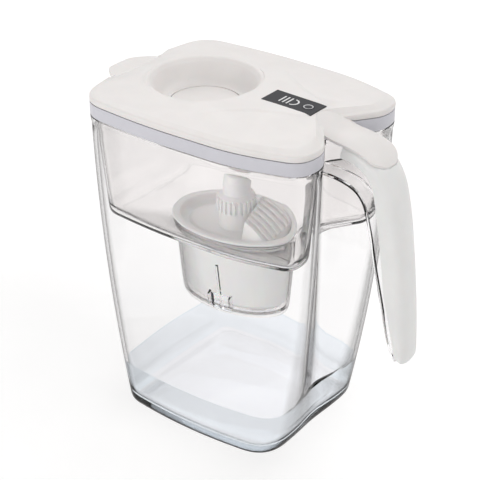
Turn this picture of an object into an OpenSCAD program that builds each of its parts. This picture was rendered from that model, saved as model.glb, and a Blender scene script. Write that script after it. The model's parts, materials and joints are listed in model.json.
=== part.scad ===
// Water filter pitcher: clear jug with a hooked handle, a hopper that hangs in its mouth, an oval
// filter cartridge in the hopper's well, and a lid with a fill flap, a pour flap and a timer.
// +Z is up, the spout points to -X and the handle to +X. The origin is the centre of the base.

/* [Jug] */
// Height of the jug from the table to its rim
jug_h = 235; // [205:1:270]
// Distance from the centre to the front of the rim
rim_front = 103; // [98:0.5:110]
// Distance from the centre to the rear lobes of the rim
rim_rear = 92.5; // [88:0.5:100]
// Half width of the rim at its widest
rim_half_w = 74; // [70:0.5:80]
// Distance from the centre to the front of the base
base_front = 68.8; // [62:0.5:76]
// Distance from the centre to the rear of the base
base_rear = 67.3; // [64:0.5:74]
// Half width of the base
base_half_w = 66.5; // [60:0.5:72]
// Depth of the notch between the two rear lobes
notch_depth = 26; // [18:0.5:30]
// How much the walls bulge outwards between base and rim
wall_bulge = 0.8; // [0.4:0.05:0.95]
// Thickness of the jug's wall
jug_wall = 2.6; // [2:0.1:3.2]
// Thickness of the jug's floor
jug_floor = 3; // [2:0.1:5]
// Height of the lip round the jug's rim
lip_h = 3.4; // [2:0.1:6]

/* [Handle] */
// Half width of the handle where it leaves the jug
handle_half_w = 16.5; // [14:0.5:19]
// Half width of the handle near its free end
handle_tip_half_w = 10.5; // [9:0.5:13]
// Thickness of the handle's outer shell
shell_t = 2.2; // [1.6:0.1:3]
// Thickness of the clear inner flange of the handle
flange_t = 2.8; // [2:0.1:4]
// Thickness of the clear web inside the handle
web_t = 2.6; // [2:0.1:4]

/* [Hopper] */
// Height of the coloured collar on the hopper's rim
collar_h = 10; // [7:0.5:14]
// Height of the hopper's bottom edge above the table
hopper_z = 158; // [152:1:164]
// Thickness of the hopper's wall
hopper_wall = 1.9; // [1.5:0.1:2.4]
// Width of the pouring channel between the hopper's front and the jug
pour_gap = 12; // [9:0.5:14]
// Half width of the pouring gate in the collar
gate_half_w = 29.5; // [29:0.5:32]
// Drop of the hopper's floor from its edge to the well
floor_drop = 8; // [5:0.5:10]

/* [Cartridge] */
// Place of the cartridge's centre along X
cart_x = -6; // [-10:0.5:-2]
// Half length of the well at the hopper's floor
well_a = 49; // [46:0.5:52]
// Half width of the well at the hopper's floor
well_b = 36.5; // [34:0.5:40]
// Half length of the well's lower end
well_low_a = 45.6; // [42:0.5:46]
// Half width of the well's lower end
well_low_b = 28.6; // [26:0.5:34]
// Depth of the well below the hopper's floor
well_depth = 58; // [50:1:66]
// Thickness of the well's wall
well_wall = 1.9; // [1.5:0.1:2.4]
// Clearance between the cartridge and the well
cart_gap = 0.6; // [0.4:0.1:1]
// Wall of the cartridge's cup
cup_wall = 1.7; // [1.3:0.1:2.2]
// Radius of the knob's knurled skirt
knob_r = 14.4; // [12:0.2:16]
// Height of the knob
knob_h = 26.5; // [22:0.5:30]
// Number of grip ribs round the knob
knob_ribs = 24; // [12:1:26]
// Depth of the grip ribs
rib_depth = 1.6; // [1:0.1:2]
// Number of ribs in the vent hood
vent_ribs = 7; // [5:1:8]
// Half width of the vent hood
vent_half_w = 14; // [12:0.5:16]

/* [Lid] */
// Thickness of the lid's skin
lid_t = 2.4; // [1.8:0.1:3]
// Height of the lid's rounded edge
lid_edge_h = 5.4; // [4:0.2:8]
// Rise of the lid's crown above its edge
lid_crown = 4.5; // [2:0.25:7]
// Place of the fill well's centre along X
fill_x = -34; // [-38:0.5:-32]
// Radius of the fill well at its rim
fill_r = 39.5; // [36:0.5:41]
// Radius of the opening in the fill well's floor
fill_floor_r = 25.8; // [22:0.2:28]
// Depth of the fill well below the lid's edge
fill_depth = 14; // [12:0.5:16]
// Half width of the tongue that covers the handle's top
tongue_half_w = 15.5; // [13:0.5:18]
// Height of the crease along the lid's raised middle
crease_h = 0.8; // [0.3:0.1:1.5]

/* [Flaps] */
// Radius of the steel pin of the fill flap
fill_pin_r = 1.25; // [1:0.05:1.5]
// Radius of the steel pin of the pour flap
pour_pin_r = 1; // [0.8:0.05:1.2]
// Radial running clearance of both hinges
pin_gap = 0.06; // [0.04:0.01:0.1]
// Gap between a flap and the opening that it closes
flap_gap = 0.5; // [0.3:0.1:0.8]
// Length of the pour flap from its hinge to its tip
pour_flap_l = 19; // [13:0.5:20]
// Half width of the pour flap at its hinge
pour_flap_half_w = 23.5; // [20:0.5:26]
// Wire radius of the fill flap's torsion spring
spring_wire_r = 0.4; // [0.3:0.05:0.45]
// Turns of the fill flap's torsion spring
spring_turns = 5; // [3:1:6]

/* [Timer] */
// Length of the timer's window
window_l = 40.6; // [38:0.2:44]
// Width of the timer's window
window_w = 19; // [18:0.2:22]
// Thickness of the timer's window
window_t = 1.8; // [1.4:0.1:2.2]
// Place of the window's centre along X
window_x = 42.4; // [40:0.2:45]
// Tilt of the window towards the handle in degrees
window_tilt = 1.8; // [0:0.2:4]
// Radius of the reset button
button_r = 3.9; // [3:0.1:4.5]
// Travel of the reset button
button_travel = 0.7; // [0.4:0.1:1]
// Radius of the coin cell
cell_r = 8; // [6:0.1:8]
// Thickness of the coin cell
cell_t = 3.2; // [2:0.1:3.2]
// Number of straight level bars in the window
bar_count = 3; // [2:1:3]

/* [Hidden] */
$fn = 64;

// clearances
seat_gap = 0.2;   // between parts that rest on each other
small_gap = 0.1;  // between parts fixed to each other

// derived heights
collar_top = jug_h + collar_h;
lid_z = collar_top + seat_gap;
lid_top = collar_top + lid_edge_h;
well_z = hopper_z - floor_drop;
well_low_z = well_z - 2 - well_depth;

// ---- plan outlines: [x, y, blend length] from the front round the +Y side to the rear ----
rim_half = [
  [-rim_front, 0, 34],
  [-rim_front + 14.5, rim_half_w - 5.5, 18],
  [-30, rim_half_w, 28],
  [46, rim_half_w - 2, 22],
  [rim_rear - 1.7, rim_half_w - 15.5, 12.5],
  [rim_rear, 36, 8],
  [rim_rear - notch_depth, 0, 8]];
base_half = [
  [-base_front, 0, 20],
  [-base_front + 1.8, base_half_w - 4.5, 15],
  [-22, base_half_w, 22],
  [18, base_half_w - 0.8, 16],
  [base_rear, base_half_w - 6.5, 24],
  [base_rear, 25, 7],
  [base_rear - 0.9, 0, 8]];
corner_steps = 5;

function closed_plan(half) = concat(half,
  [for (i = [len(half) - 2 : -1 : 1]) [half[i].x, -half[i].y, half[i].z]]);
rim_plan = closed_plan(rim_half);
base_plan = closed_plan(base_half);
plan_n = len(rim_plan);
ring_n = plan_n * corner_steps;

// the hopper's plan: as the jug's, with its front set back by the pouring channel
function set_back(plan) = [for (i = [0 : plan_n - 1])
  i == 0 ? [plan[0].x + pour_gap, 0, 16] : plan[i]];
rim_plan_hopper = set_back(rim_plan);
base_plan_hopper = set_back(base_plan);

function flat(v) = [v.x, v.y];
function unit(v) = v / norm(v);
function mix(a, b, t) = a + (b - a) * t;
function swell(z) = let (t = min(z / jug_h, 1)) t + wall_bulge * t * (1 - t);

// one plan corner moved inwards by inset, rounded by a quadratic blend
function plan_corner(a, p, b, inset) =
  let (e1 = unit(flat(p) - flat(a)), e2 = unit(flat(b) - flat(p)),
       n1 = [e1.y, -e1.x], n2 = [e2.y, -e2.x],
       turn = (e1.y * e2.x - e1.x * e2.y) / (1 + e1 * e2),
       c = flat(p) + (n1 + n2) * inset / (1 + n1 * n2),
       d = max(p.z - inset * turn, p.z * 0.35),
       s = c - e1 * d, e = c + e2 * d)
  [for (i = [0 : corner_steps - 1]) let (t = i / (corner_steps - 1))
    s * (1 - t) * (1 - t) + c * 2 * t * (1 - t) + e * t * t];

// ring of points at height z, level gives the plan's height on the wall
function plan_ring(low, high, level, inset) =
  let (plan = [for (i = [0 : plan_n - 1]) mix(low[i], high[i], swell(level))])
  [for (i = [0 : plan_n - 1])
    each plan_corner(plan[(i + plan_n - 1) % plan_n], plan[i], plan[(i + 1) % plan_n], inset)];
function lift(ring, z) = [for (p = ring) [p.x, p.y, z]];
function jug_ring(z, inset) = lift(plan_ring(base_plan, rim_plan, z, inset), z);
function hopper_ring(z, inset) =
  lift(plan_ring(base_plan_hopper, rim_plan_hopper, z, inset), z);

// bearings of the ring's points as seen from the cartridge: even steps mixed with the true ones
function bearing(i) = 180 - 360 * (i + 0.5) / ring_n;
function turn_to(a, ref) = a + 360 * round((ref - a) / 360);
hopper_bearings = [let (r = plan_ring(base_plan_hopper, rim_plan_hopper, hopper_z, 10))
  for (i = [0 : ring_n - 1])
    mix(bearing(i), turn_to(atan2(r[i].y, r[i].x - cart_x), bearing(i)), 0.5)];
function oval_ring(a, b, z) =
  [for (t = hopper_bearings) [cart_x + a * cos(t), b * sin(t), z]];

// skin over a list of rings, closed by flat caps, or joined end to end when hoop is true
module loft(rings, hoop = false) {
  n = len(rings[0]);
  m = len(rings);
  spans = hoop ? m : m - 1;
  sides = [for (i = [0 : spans - 1], j = [0 : n - 1])
    let (k = (j + 1) % n, up = ((i + 1) % m) * n)
    each [[i * n + j, i * n + k, up + k], [i * n + j, up + k, up + j]]];
  last = (m - 1) * n;
  caps = hoop ? [] : [for (j = [0 : n / 2 - 2]) let (k = n - 1 - j)
    each [[k, j + 1, j], [k, k - 1, j + 1],
      [last + j, last + j + 1, last + k], [last + j + 1, last + k - 1, last + k]]];
  polyhedron(points = [for (r = rings) each r], faces = concat(sides, caps), convexity = 8);
}

// smooth open curve through the middles of a list of guide points
curve_steps = 3;
function bend(a, p, b, t) =
  (a + p) / 2 * (1 - t) * (1 - t) + p * 2 * t * (1 - t) + (p + b) / 2 * t * t;
function curve(guide) = concat([guide[0]],
  [for (i = [1 : len(guide) - 2], s = [0 : curve_steps - 1])
    bend(guide[i - 1], guide[i], guide[i + 1], s / curve_steps)],
  [(guide[len(guide) - 2] + guide[len(guide) - 1]) / 2, guide[len(guide) - 1]]);
function tangent(c, i) = unit(c[min(i + 1, len(c) - 1)] - c[max(i - 1, 0)]);

// ---- handle: outer back line and clear inner line, as [x, z] from the jug to the free end ----
notch_x = rim_rear - notch_depth;
handle_back = curve([[notch_x + 12, jug_h + 11.5], [rim_rear + 2, jug_h + 10.5],
  [rim_rear + 20, jug_h + 6.5], [rim_rear + 35, jug_h - 9], [rim_rear + 42, jug_h - 33],
  [rim_rear + 47.7, jug_h - 72], [rim_rear + 51.5, jug_h - 109], [rim_rear + 52.9, jug_h - 135],
  [rim_rear + 52.9, jug_h - 144.5], [rim_rear + 51.5, jug_h - 147.5]]);
handle_palm = curve([[notch_x + 1, jug_h - 19.5], [rim_rear - 4, jug_h - 19.5],
  [rim_rear + 14, jug_h - 26], [rim_rear + 20.5, jug_h - 48], [rim_rear + 25, jug_h - 76],
  [rim_rear + 31, jug_h - 104], [rim_rear + 35.5, jug_h - 128], [rim_rear + 40, jug_h - 143],
  [rim_rear + 43, jug_h - 148]]);
back_n = len(handle_back);
flange_half_w = handle_half_w - 3.5;
flange_tip_half_w = handle_tip_half_w - shell_t - 0.4;

function upright(p, y) = [p.x, y, p.y];

// points of the curve moved sideways by d, to the left of its run
function beside(c, d) = [for (i = [0 : len(c) - 1])
  let (t = tangent(c, i)) c[i] + [t.y, -t.x] * d];

// ---------------------------------------------------------------- jug
module jug_vessel() {
  low_fillet = 5.5;
  loft(concat(
    [jug_ring(1.6, 13), jug_ring(0, 9.5), jug_ring(0, low_fillet), jug_ring(0.9, 2.6),
     jug_ring(3.2, 1.1)],
    [for (z = [9, 32, 60, 92, 126, 162, 200]) jug_ring(z * jug_h / 235, 0.6)],
    [jug_ring(jug_h - lip_h - 0.6, 0.6), jug_ring(jug_h - lip_h, 0), jug_ring(jug_h, 0),
     jug_ring(jug_h, jug_wall - 0.4), jug_ring(jug_h - lip_h, jug_wall)],
    [for (z = [200, 162, 126, 92, 60, 32, 14]) jug_ring(z * jug_h / 235, jug_wall + 0.6)],
    [jug_ring(jug_floor + 5, jug_wall + 2), jug_ring(jug_floor + 2, jug_wall + 6),
     jug_ring(jug_floor + 1.4, jug_wall + 12)]));
}

// pouring beak on the front of the rim, an open trough
module jug_beak() {
  beak_t = 1.8;
  w = pour_flap_half_w - 2.5;
  stations = [[-rim_front + 7.5, w, 1.2, 0.4], [-rim_front - 1, w - 4, 1.6, 1.2],
    [-rim_front - 8, w - 9.5, 3.6, 2.8]];
  side_top = jug_h + collar_h - 3.6;
  loft([for (s = stations) [
    [s.x, -s.y, side_top], [s.x, -s.y, jug_h + s.z + 1], [s.x, -s.y + 3, jug_h + s[3] - 1],
    [s.x, s.y - 3, jug_h + s[3] - 1], [s.x, s.y, jug_h + s.z + 1], [s.x, s.y, side_top],
    [s.x, s.y - beak_t, side_top], [s.x, s.y - beak_t, jug_h + s.z + 1.4],
    [s.x, s.y - 4, jug_h + s[3] + 0.8], [s.x, -s.y + 4, jug_h + s[3] + 0.8],
    [s.x, -s.y + beak_t, jug_h + s.z + 1.4], [s.x, -s.y + beak_t, side_top]]]);
}

palm_out = beside(handle_palm, -flange_t);
module jug_spine() {
  // flange along the palm side, narrowing to the free end
  intersection() {
    rotate([90, 0, 0])
      linear_extrude(2 * handle_half_w, center = true)
        polygon(concat(handle_palm, [for (i = [len(palm_out) - 1 : -1 : 0]) palm_out[i]]));
    rotate([90, 0, 90])
      linear_extrude(2 * rim_rear)
        polygon([[-flange_half_w, jug_h], [flange_half_w, jug_h],
          [flange_half_w, jug_h - 40], [flange_tip_half_w, jug_h - 150],
          [-flange_tip_half_w, jug_h - 150], [-flange_half_w, jug_h - 40]]);
  }
  // web between the flange and the shell
  web_back = beside(handle_back, shell_t + 2.6);
  rotate([90, 0, 0])
    linear_extrude(web_t, center = true)
      polygon(concat([[notch_x - 1, jug_h - 19]],
        [for (i = [1 : len(handle_palm) - 4]) handle_palm[i]],
        [for (i = [back_n - 5 : -1 : 2]) web_back[i]], [[notch_x - 1, jug_h - 1]]));
}
// solid that fills the vessel up to the middle of its wall
module vessel_core() {
  loft([for (z = [jug_h - 90, jug_h - 35, jug_h + 20]) jug_ring(z, jug_wall * 0.6)]);
}

module jug() {
  color([0.9, 0.91, 0.92, 0.45]) {
    jug_vessel();
    jug_beak();
    difference() {
      jug_spine();
      vessel_core();
    }
  }
}

// ---------------------------------------------------------------- handle shell
// half of the shell's section, from its free edge to the crown:
// [share of the side's depth, share of the crown's depth, share of the width]
shell_half = concat([[1, 0, 1]],
  [for (a = [90 : -18 : 18]) [0, 1 - pow(cos(a), 0.85), pow(sin(a), 0.85)]]);
shell_section = concat(shell_half, [[0, 0, 0]],
  [for (i = [len(shell_half) - 1 : -1 : 0]) let (s = shell_half[i]) [s.x, s.y, -s.z]]);
section_n = len(shell_section);
shell_first = 2;
tongue_t = 1.8;
function shell_half_w(k) = mix(handle_half_w, handle_tip_half_w, min(1, k * 1.1));
// depth of the shell's sides: shallow at the rim, deeper down the back, short at the free end
side_depth_rim = 11.3;
side_depth_back = 15;
side_depth_end = 7;
function shell_depth(i) = let (z = handle_back[i].y - handle_back[back_n - 1].y)
  min(mix(side_depth_rim, side_depth_back, ease((i - 5) / 8)), side_depth_end + z * 0.15,
    min([for (q = palm_out) norm(handle_back[i] - q)]) - 0.4);
// depth of the round part of its back: full over the rim, flatter towards the free end
crown_depth_rim = 8.5;
crown_depth_end = 3.4;
function crown_depth(i) = let (k = ease((i / (back_n - 1) - 0.5) * 2))
  min(mix(crown_depth_rim, crown_depth_end, k), shell_depth(i) - 1);
function shell_point(i, s, inner) =
  let (k = i / (back_n - 1), t = tangent(handle_back, i), inward = [t.y, -t.x],
       under_tongue = handle_back[i].x < tongue_tip_x + 4 && k < 0.5,
       depth = shell_depth(i), crown = crown_depth(i),
       skin = !inner ? 0 : i > back_n - 3 ? depth - 0.6
         : under_tongue ? shell_t + 1.6 : shell_t,
       side = inner ? shell_t : 0,
       end = i == back_n - 1 ? 0.86 : 1,
       reach = s.x == 1 ? depth : skin + (crown - skin) * s.y,
       p = handle_back[i] + inward * (inner ? max(reach, min(skin, depth)) : reach))
  [p.x, -(shell_half_w(k) * end - side) * s.z, p.y];
module handle_shell() {
  color([0.93, 0.93, 0.92])
    difference() {
      loft([for (i = [shell_first : back_n - 1]) concat(
        [for (s = shell_section) shell_point(i, s, false)],
        [for (j = [section_n - 1 : -1 : 0]) shell_point(i, shell_section[j], true)])]);
      tongue_room();
    }
}

// ---------------------------------------------------------------- hopper
module hopper_shell() {
  w = hopper_wall;
  loft(hoop = true, rings = [
    oval_ring(well_low_a - 6.5, well_low_b - 6.5, well_low_z),
    oval_ring(well_low_a - 1.6, well_low_b - 1.6, well_low_z),
    oval_ring(well_low_a, well_low_b, well_low_z + 2.4),
    oval_ring(well_a, well_b, well_z - 2.6),
    oval_ring(well_a + 2, well_b + 2, well_z - 2),
    hopper_ring(hopper_z, 15), hopper_ring(hopper_z + 0.6, 10.5),
    hopper_ring(hopper_z + 3.6, 7.6), hopper_ring(hopper_z + 10, 6.9),
    hopper_ring(hopper_z + 32, 5.9), hopper_ring(hopper_z + 54, 4.7),
    hopper_ring(jug_h - 2, 3.9), hopper_ring(collar_top - 1.4, 3.4),
    hopper_ring(collar_top - 1.4, 1.6), hopper_ring(collar_top, 1.6),
    hopper_ring(collar_top, 3.2 + w), hopper_ring(jug_h - 2, 3.9 + w),
    hopper_ring(hopper_z + 54, 4.7 + w), hopper_ring(hopper_z + 32, 5.9 + w),
    hopper_ring(hopper_z + 10, 6.9 + w), hopper_ring(hopper_z + 5, 8.6 + w),
    hopper_ring(hopper_z + 2.6, 11.5 + w), hopper_ring(hopper_z + 2, 15 + w),
    oval_ring(well_a + 3.5, well_b + 3.5, well_z),
    oval_ring(well_a - 0.6, well_b - 0.6, well_z),
    oval_ring(well_a - w, well_b - w, well_z - 3),
    oval_ring(well_low_a - w, well_low_b - w, well_low_z + 3.2),
    oval_ring(well_low_a - 3, well_low_b - 3, well_low_z + w),
    oval_ring(well_low_a - 6.5, well_low_b - 6.5, well_low_z + w)]);
}
// catch at the middle of both long walls of the well: a notch in the lower edge between two
// prongs, and a springy arm that runs down into it
catch_x = cart_x + 8;
catch_w = 16;
catch_h = 13;
arm_h = 41;
// half width of the well's outside at x and z
function well_half_w(x, z) =
  mix(well_low_b, well_b, (z - well_low_z - 2.4) / (well_z - well_low_z - 5))
    * sqrt(1 - pow((x - cart_x) / well_low_a, 2));
// upright rib that grows out of the well's wall
module wall_rib(x, t, low, high, proud) {
  top = high - proud;
  translate([x, 0, 0])
    rotate([90, 0, 90])
      linear_extrude(t, center = true)
        polygon([[well_half_w(x, low) - 1, low], [well_half_w(x, low) + proud, low],
          [well_half_w(x, top) + proud, top], [well_half_w(x, high) - 1, high]]);
}
module hopper() {
  color([0.86, 0.87, 0.89, 0.5]) {
    difference() {
      hopper_shell();
      for (s = [-1, 1])
        translate([catch_x - catch_w / 2, s * (well_low_b + 5) - 8, well_low_z - 1])
          cube([catch_w, 16, catch_h + 1]);
    }
    for (m = [0, 1])
      mirror([0, m, 0]) {
        wall_rib(catch_x, 1.8, well_low_z + 1, well_low_z + arm_h, 1.2);
        for (s = [-1, 1])
          wall_rib(catch_x + s * (catch_w / 2 + 0.6), 1.6, well_low_z + 3,
            well_low_z + catch_h + 3, 3);
      }
  }
}

// coloured band that shows between the jug and the lid
module hopper_collar() {
  color([0.77, 0.77, 0.81])
    difference() {
      loft(hoop = true, rings = [
        hopper_ring(jug_h + seat_gap, 3.2), jug_ring(jug_h + seat_gap, 0.3),
        jug_ring(jug_h + seat_gap + 0.6, 0), jug_ring(collar_top - 0.2, 0),
        jug_ring(collar_top - 0.2, 1.1), jug_ring(collar_top - 1.5, 1.3),
        hopper_ring(collar_top - 1.5, 3.2)]);
      translate([-rim_front - 20, -gate_half_w, jug_h - 5])
        cube([rim_front * 0.3, 2 * gate_half_w, collar_h + 10]);
    }
}

// ---------------------------------------------------------------- cartridge
oval_n = 48;
function oval(a, b) = [for (i = [0 : oval_n - 1])
  [cart_x + a * cos(360 * i / oval_n), b * sin(360 * i / oval_n)]];
function oval_level(a, b, z) = [for (i = [oval_n - 1 : -1 : 0])
  [cart_x + a * cos(360 * i / oval_n), b * sin(360 * i / oval_n), z]];
module oval_plate(a, b, z, h) {
  translate([0, 0, z])
    linear_extrude(h)
      polygon(oval(a, b));
}

// the cup follows the well's inner wall at the clearance
cup_z = well_low_z + well_wall + 0.4;
cup_top = well_z - 5.5;
cup_low_a = well_low_a - well_wall - cart_gap;
cup_low_b = well_low_b - well_wall - cart_gap;
cup_a = well_a - well_wall - cart_gap - 0.3;
cup_b = well_b - well_wall - cart_gap - 0.3;
module cartridge_cup() {
  color([0.94, 0.94, 0.93])
    loft(hoop = true, rings = [
      oval_level(cup_low_a - 5.5, cup_low_b - 5.5, cup_z),
      oval_level(cup_low_a - 3, cup_low_b - 3, cup_z),
      oval_level(cup_low_a - 0.4, cup_low_b - 0.4, cup_z + 3.4),
      oval_level(cup_a, cup_b, cup_top),
      oval_level(cup_a - cup_wall, cup_b - cup_wall, cup_top),
      oval_level(cup_low_a - cup_wall - 0.8, cup_low_b - cup_wall - 0.8, cup_z + 4.4),
      oval_level(cup_low_a - 4, cup_low_b - 4, cup_z + 2),
      oval_level(cup_low_a - 5.5, cup_low_b - 5.5, cup_z + 2)]);
}

// cover: flange, sunk pan, pedestal for the knob and the arched vent hood
seal_t = 0.9;
flange_z = well_z + seat_gap + seal_t + small_gap;
cover_top = flange_z + 1.6;
pan_z = cup_top + small_gap + 1.6;
hood_x0 = cart_x + 12;
hood_x1 = cart_x + 40;
hood_low = cover_top - 1;
hood_high = cover_top + 15.5;
function hood_line(drop) = [for (i = [0 : 10]) let (a = 9 * i)
  [hood_x0 + (hood_x1 - hood_x0 - drop) * sin(a),
   hood_low + (hood_high - hood_low - drop) * pow(cos(a), 0.8)]];
module hood_rib(t) {
  rotate([90, 0, 0])
    linear_extrude(t, center = true)
      polygon(concat(hood_line(0), [for (i = [10 : -1 : 0]) hood_line(2.2)[i]]));
}
module cartridge_cover() {
  rib_pitch = 2 * vent_half_w / (vent_ribs - 1);
  color([0.95, 0.95, 0.94]) {
    difference() {
      union() {
        oval_plate(well_a + 1.6, well_b + 1.6, flange_z, cover_top - flange_z);
        oval_plate(cup_a, cup_b, cup_top + small_gap, cover_top - cup_top - small_gap);
      }
      oval_plate(cup_a - cup_wall, cup_b - cup_wall, pan_z, 20);
    }
    // skirt that plugs into the cup
    difference() {
      oval_plate(cup_a - cup_wall - 0.7, cup_b - cup_wall - 0.7, cup_top - 3, 4);
      oval_plate(cup_a - cup_wall - 2.2, cup_b - cup_wall - 2.2, cup_top - 4, 6);
    }
    // pedestal under the knob
    translate([cart_x, 0, pan_z - 0.5])
      cylinder(r = knob_r - rib_depth - 0.4, h = knob_z - pan_z);
    // low step round the pan
    difference() {
      oval_plate(cup_a - 9, cup_b - 9, pan_z - 0.5, 2.1);
      oval_plate(cup_a - 10.6, cup_b - 10.6, pan_z - 1, 4);
    }
    // hood: side cheeks, ribs, rear rail and the wall at the knob's end
    difference() {
      union() {
        for (i = [0 : vent_ribs - 1])
          translate([0, -vent_half_w + i * rib_pitch, 0])
            hood_rib(i == 0 || i == vent_ribs - 1 ? 1.8 : 1.4);
        translate([hood_x1 - 3, -vent_half_w - 0.9, pan_z - 0.5])
          cube([3, 2 * vent_half_w + 1.8, hood_low + 1.5 - pan_z]);
        translate([hood_x0 - 1, -vent_half_w - 0.9, pan_z - 0.5])
          cube([4.5, 2 * vent_half_w + 1.8, hood_high - 0.4 - pan_z]);
      }
      translate([cart_x, 0, knob_z - 2])
        cylinder(r = knob_r + 0.4, h = 30);
    }
  }
}

// knob: ribbed skirt, shoulder and dome
knob_z = cover_top + 9;
skirt_h = knob_h * 0.35;
dome_r = knob_r * 0.68;
module cartridge_knob() {
  core_r = knob_r - rib_depth;
  color([0.96, 0.96, 0.96])
    translate([cart_x, 0, knob_z - 0.4]) {
      rotate_extrude()
        polygon([[0, small_gap], [core_r, small_gap], [core_r, skirt_h],
          [dome_r + 1.6, skirt_h + 1.2], [dome_r + 0.2, skirt_h + 2.6],
          [dome_r, knob_h - 5.5], [dome_r - 1, knob_h - 2.7], [dome_r - 3.2, knob_h - 1],
          [dome_r - 6, knob_h - 0.2], [0, knob_h]]);
      for (i = [0 : knob_ribs - 1])
        rotate([0, 0, 360 * i / knob_ribs])
          rotate([90, 0, 0])
            linear_extrude(1.8, center = true)
              polygon([[core_r - 0.4, small_gap], [knob_r, -1], [knob_r, skirt_h - 1.4],
                [knob_r - 0.5, skirt_h - 0.6], [core_r - 0.4, skirt_h - 0.2]]);
    }
}

module cartridge_seal() {
  color([0.8, 0.82, 0.85])
    translate([0, 0, well_z + seat_gap])
      linear_extrude(seal_t)
        difference() {
          polygon(oval(well_a + 1.2, well_b + 1.2));
          polygon(oval(well_a - 0.9, well_b - 0.9));
        }
}

// filling of the cup, from the bottom up
grille_t = 1.2;
felt_t = 1.6;
media_z = cup_z + 2 + grille_t + felt_t + 3 * small_gap;
media_top = cup_top - 3 - felt_t - 2 * small_gap;
function cup_inner_a(z) = let (t = (z - cup_z - 4.4) / (cup_top - cup_z - 4.4))
  mix(cup_low_a - cup_wall - 0.8, cup_a - cup_wall, max(t, -0.05)) - 0.35;
function cup_inner_b(z) = let (t = (z - cup_z - 4.4) / (cup_top - cup_z - 4.4))
  mix(cup_low_b - cup_wall - 0.8, cup_b - cup_wall, max(t, -0.05)) - 0.35;
module outlet_grille() {
  z = cup_z + 2 + small_gap;
  slots = 6;
  color([0.9, 0.9, 0.9])
    difference() {
      oval_plate(cup_low_a - 4.4, cup_low_b - 4.4, z, grille_t);
      for (i = [-slots : slots])
        translate([cart_x + i * 5 - 1, -10, z - 1])
          cube([2, 20, grille_t + 2]);
    }
}
module lower_felt() {
  color([0.96, 0.96, 0.95])
    oval_plate(cup_low_a - 4.6, cup_low_b - 4.6, cup_z + 2 + grille_t + 2 * small_gap, felt_t);
}
module filter_media() {
  color([0.25, 0.25, 0.27])
    loft([oval_level(cup_low_a - 4.6, cup_low_b - 4.6, media_z),
      oval_level(cup_inner_a(media_z + 3), cup_inner_b(media_z + 3), media_z + 3),
      oval_level(cup_inner_a(media_top), cup_inner_b(media_top), media_top)]);
}
module upper_felt() {
  color([0.96, 0.96, 0.95])
    oval_plate(cup_inner_a(media_top) - 0.2, cup_inner_b(media_top) - 0.2,
      media_top + small_gap, felt_t);
}

// ---------------------------------------------------------------- lid
// height of the lid's top skin
dip_h = 3.6;
function ease(t) = let (c = min(max(t, 0), 1)) c * c * (3 - 2 * c);
function front_dip(x, y) =
  dip_h * ease((-x - rim_front + 26) / 22)
    * ease((pour_flap_half_w + 12 - abs(y)) / 11);
function lid_height(x, y) = lid_top + lid_crown * (1 - pow((x - 15) / 116, 2))
  * (1 - pow(min(abs(y) / (rim_half_w + 1), 1), 2.4)) - front_dip(x, y);
// ring on the lid's rounded edge, at a share of the edge's local height
function edge_ring(share, inset) = [for (p = jug_ring(lid_top, inset))
  [p.x, p.y, mix(lid_z, lid_top - front_dip(p.x, p.y), share)]];
lid_bearings = [let (r = plan_ring(base_plan, rim_plan, jug_h, 10))
  for (i = [0 : ring_n - 1])
    mix(bearing(i), turn_to(atan2(r[i].y, r[i].x - fill_x), bearing(i)), 0.5)];
function round_ring(r, z) = [for (t = lid_bearings) [fill_x + r * cos(t), r * sin(t), z]];
function skin_ring(k, drop, inset) =
  let (edge = plan_ring(base_plan, rim_plan, jug_h, inset), core = round_ring(fill_r + 2.5, 0))
  [for (i = [0 : ring_n - 1]) let (p = mix(edge[i], flat(core[i]), k))
    [p.x, p.y, lid_height(p.x, p.y) - drop]];
fill_rim_z = lid_height(fill_x, 0) - 0.5;
fill_floor_z = lid_top - fill_depth;
lid_floor_t = 2;
skirt_inset = 3.2 + hopper_wall + 0.6;
module lid_skin() {
  t = lid_t;
  loft(hoop = true, rings = concat(
    [lift(plan_ring(base_plan_hopper, rim_plan_hopper, jug_h, skirt_inset + 2), lid_z - 5.6),
     lift(plan_ring(base_plan_hopper, rim_plan_hopper, jug_h, skirt_inset), lid_z - 5.6),
     lift(plan_ring(base_plan_hopper, rim_plan_hopper, jug_h, skirt_inset), lid_z),
     edge_ring(0, 0.8), edge_ring(0.11, 0), edge_ring(0.69, 0), edge_ring(0.9, 0.8),
     edge_ring(1, 2.6)],
    [for (k = [0.06, 0.2, 0.4, 0.65, 0.88]) skin_ring(k, 0, 3.4)],
    [round_ring(fill_r + 1, fill_rim_z), round_ring(fill_r - 1.4, fill_rim_z - 1.4),
     round_ring(fill_r - 3, fill_rim_z - 4), round_ring(fill_floor_r + 3.6, fill_floor_z + 2.6),
     round_ring(fill_floor_r + 1.4, fill_floor_z), round_ring(fill_floor_r, fill_floor_z),
     round_ring(fill_floor_r, fill_floor_z - lid_floor_t),
     round_ring(fill_floor_r + 4, fill_floor_z - lid_floor_t),
     round_ring(fill_floor_r + 6, fill_floor_z + 1), round_ring(fill_r + 0.6, fill_rim_z - 5)],
    [for (k = [0.88, 0.65, 0.4, 0.2]) skin_ring(k, t, 3.4)],
    [lift(plan_ring(base_plan_hopper, rim_plan_hopper, jug_h, skirt_inset + 2),
      lid_top - t)]));
}

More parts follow.
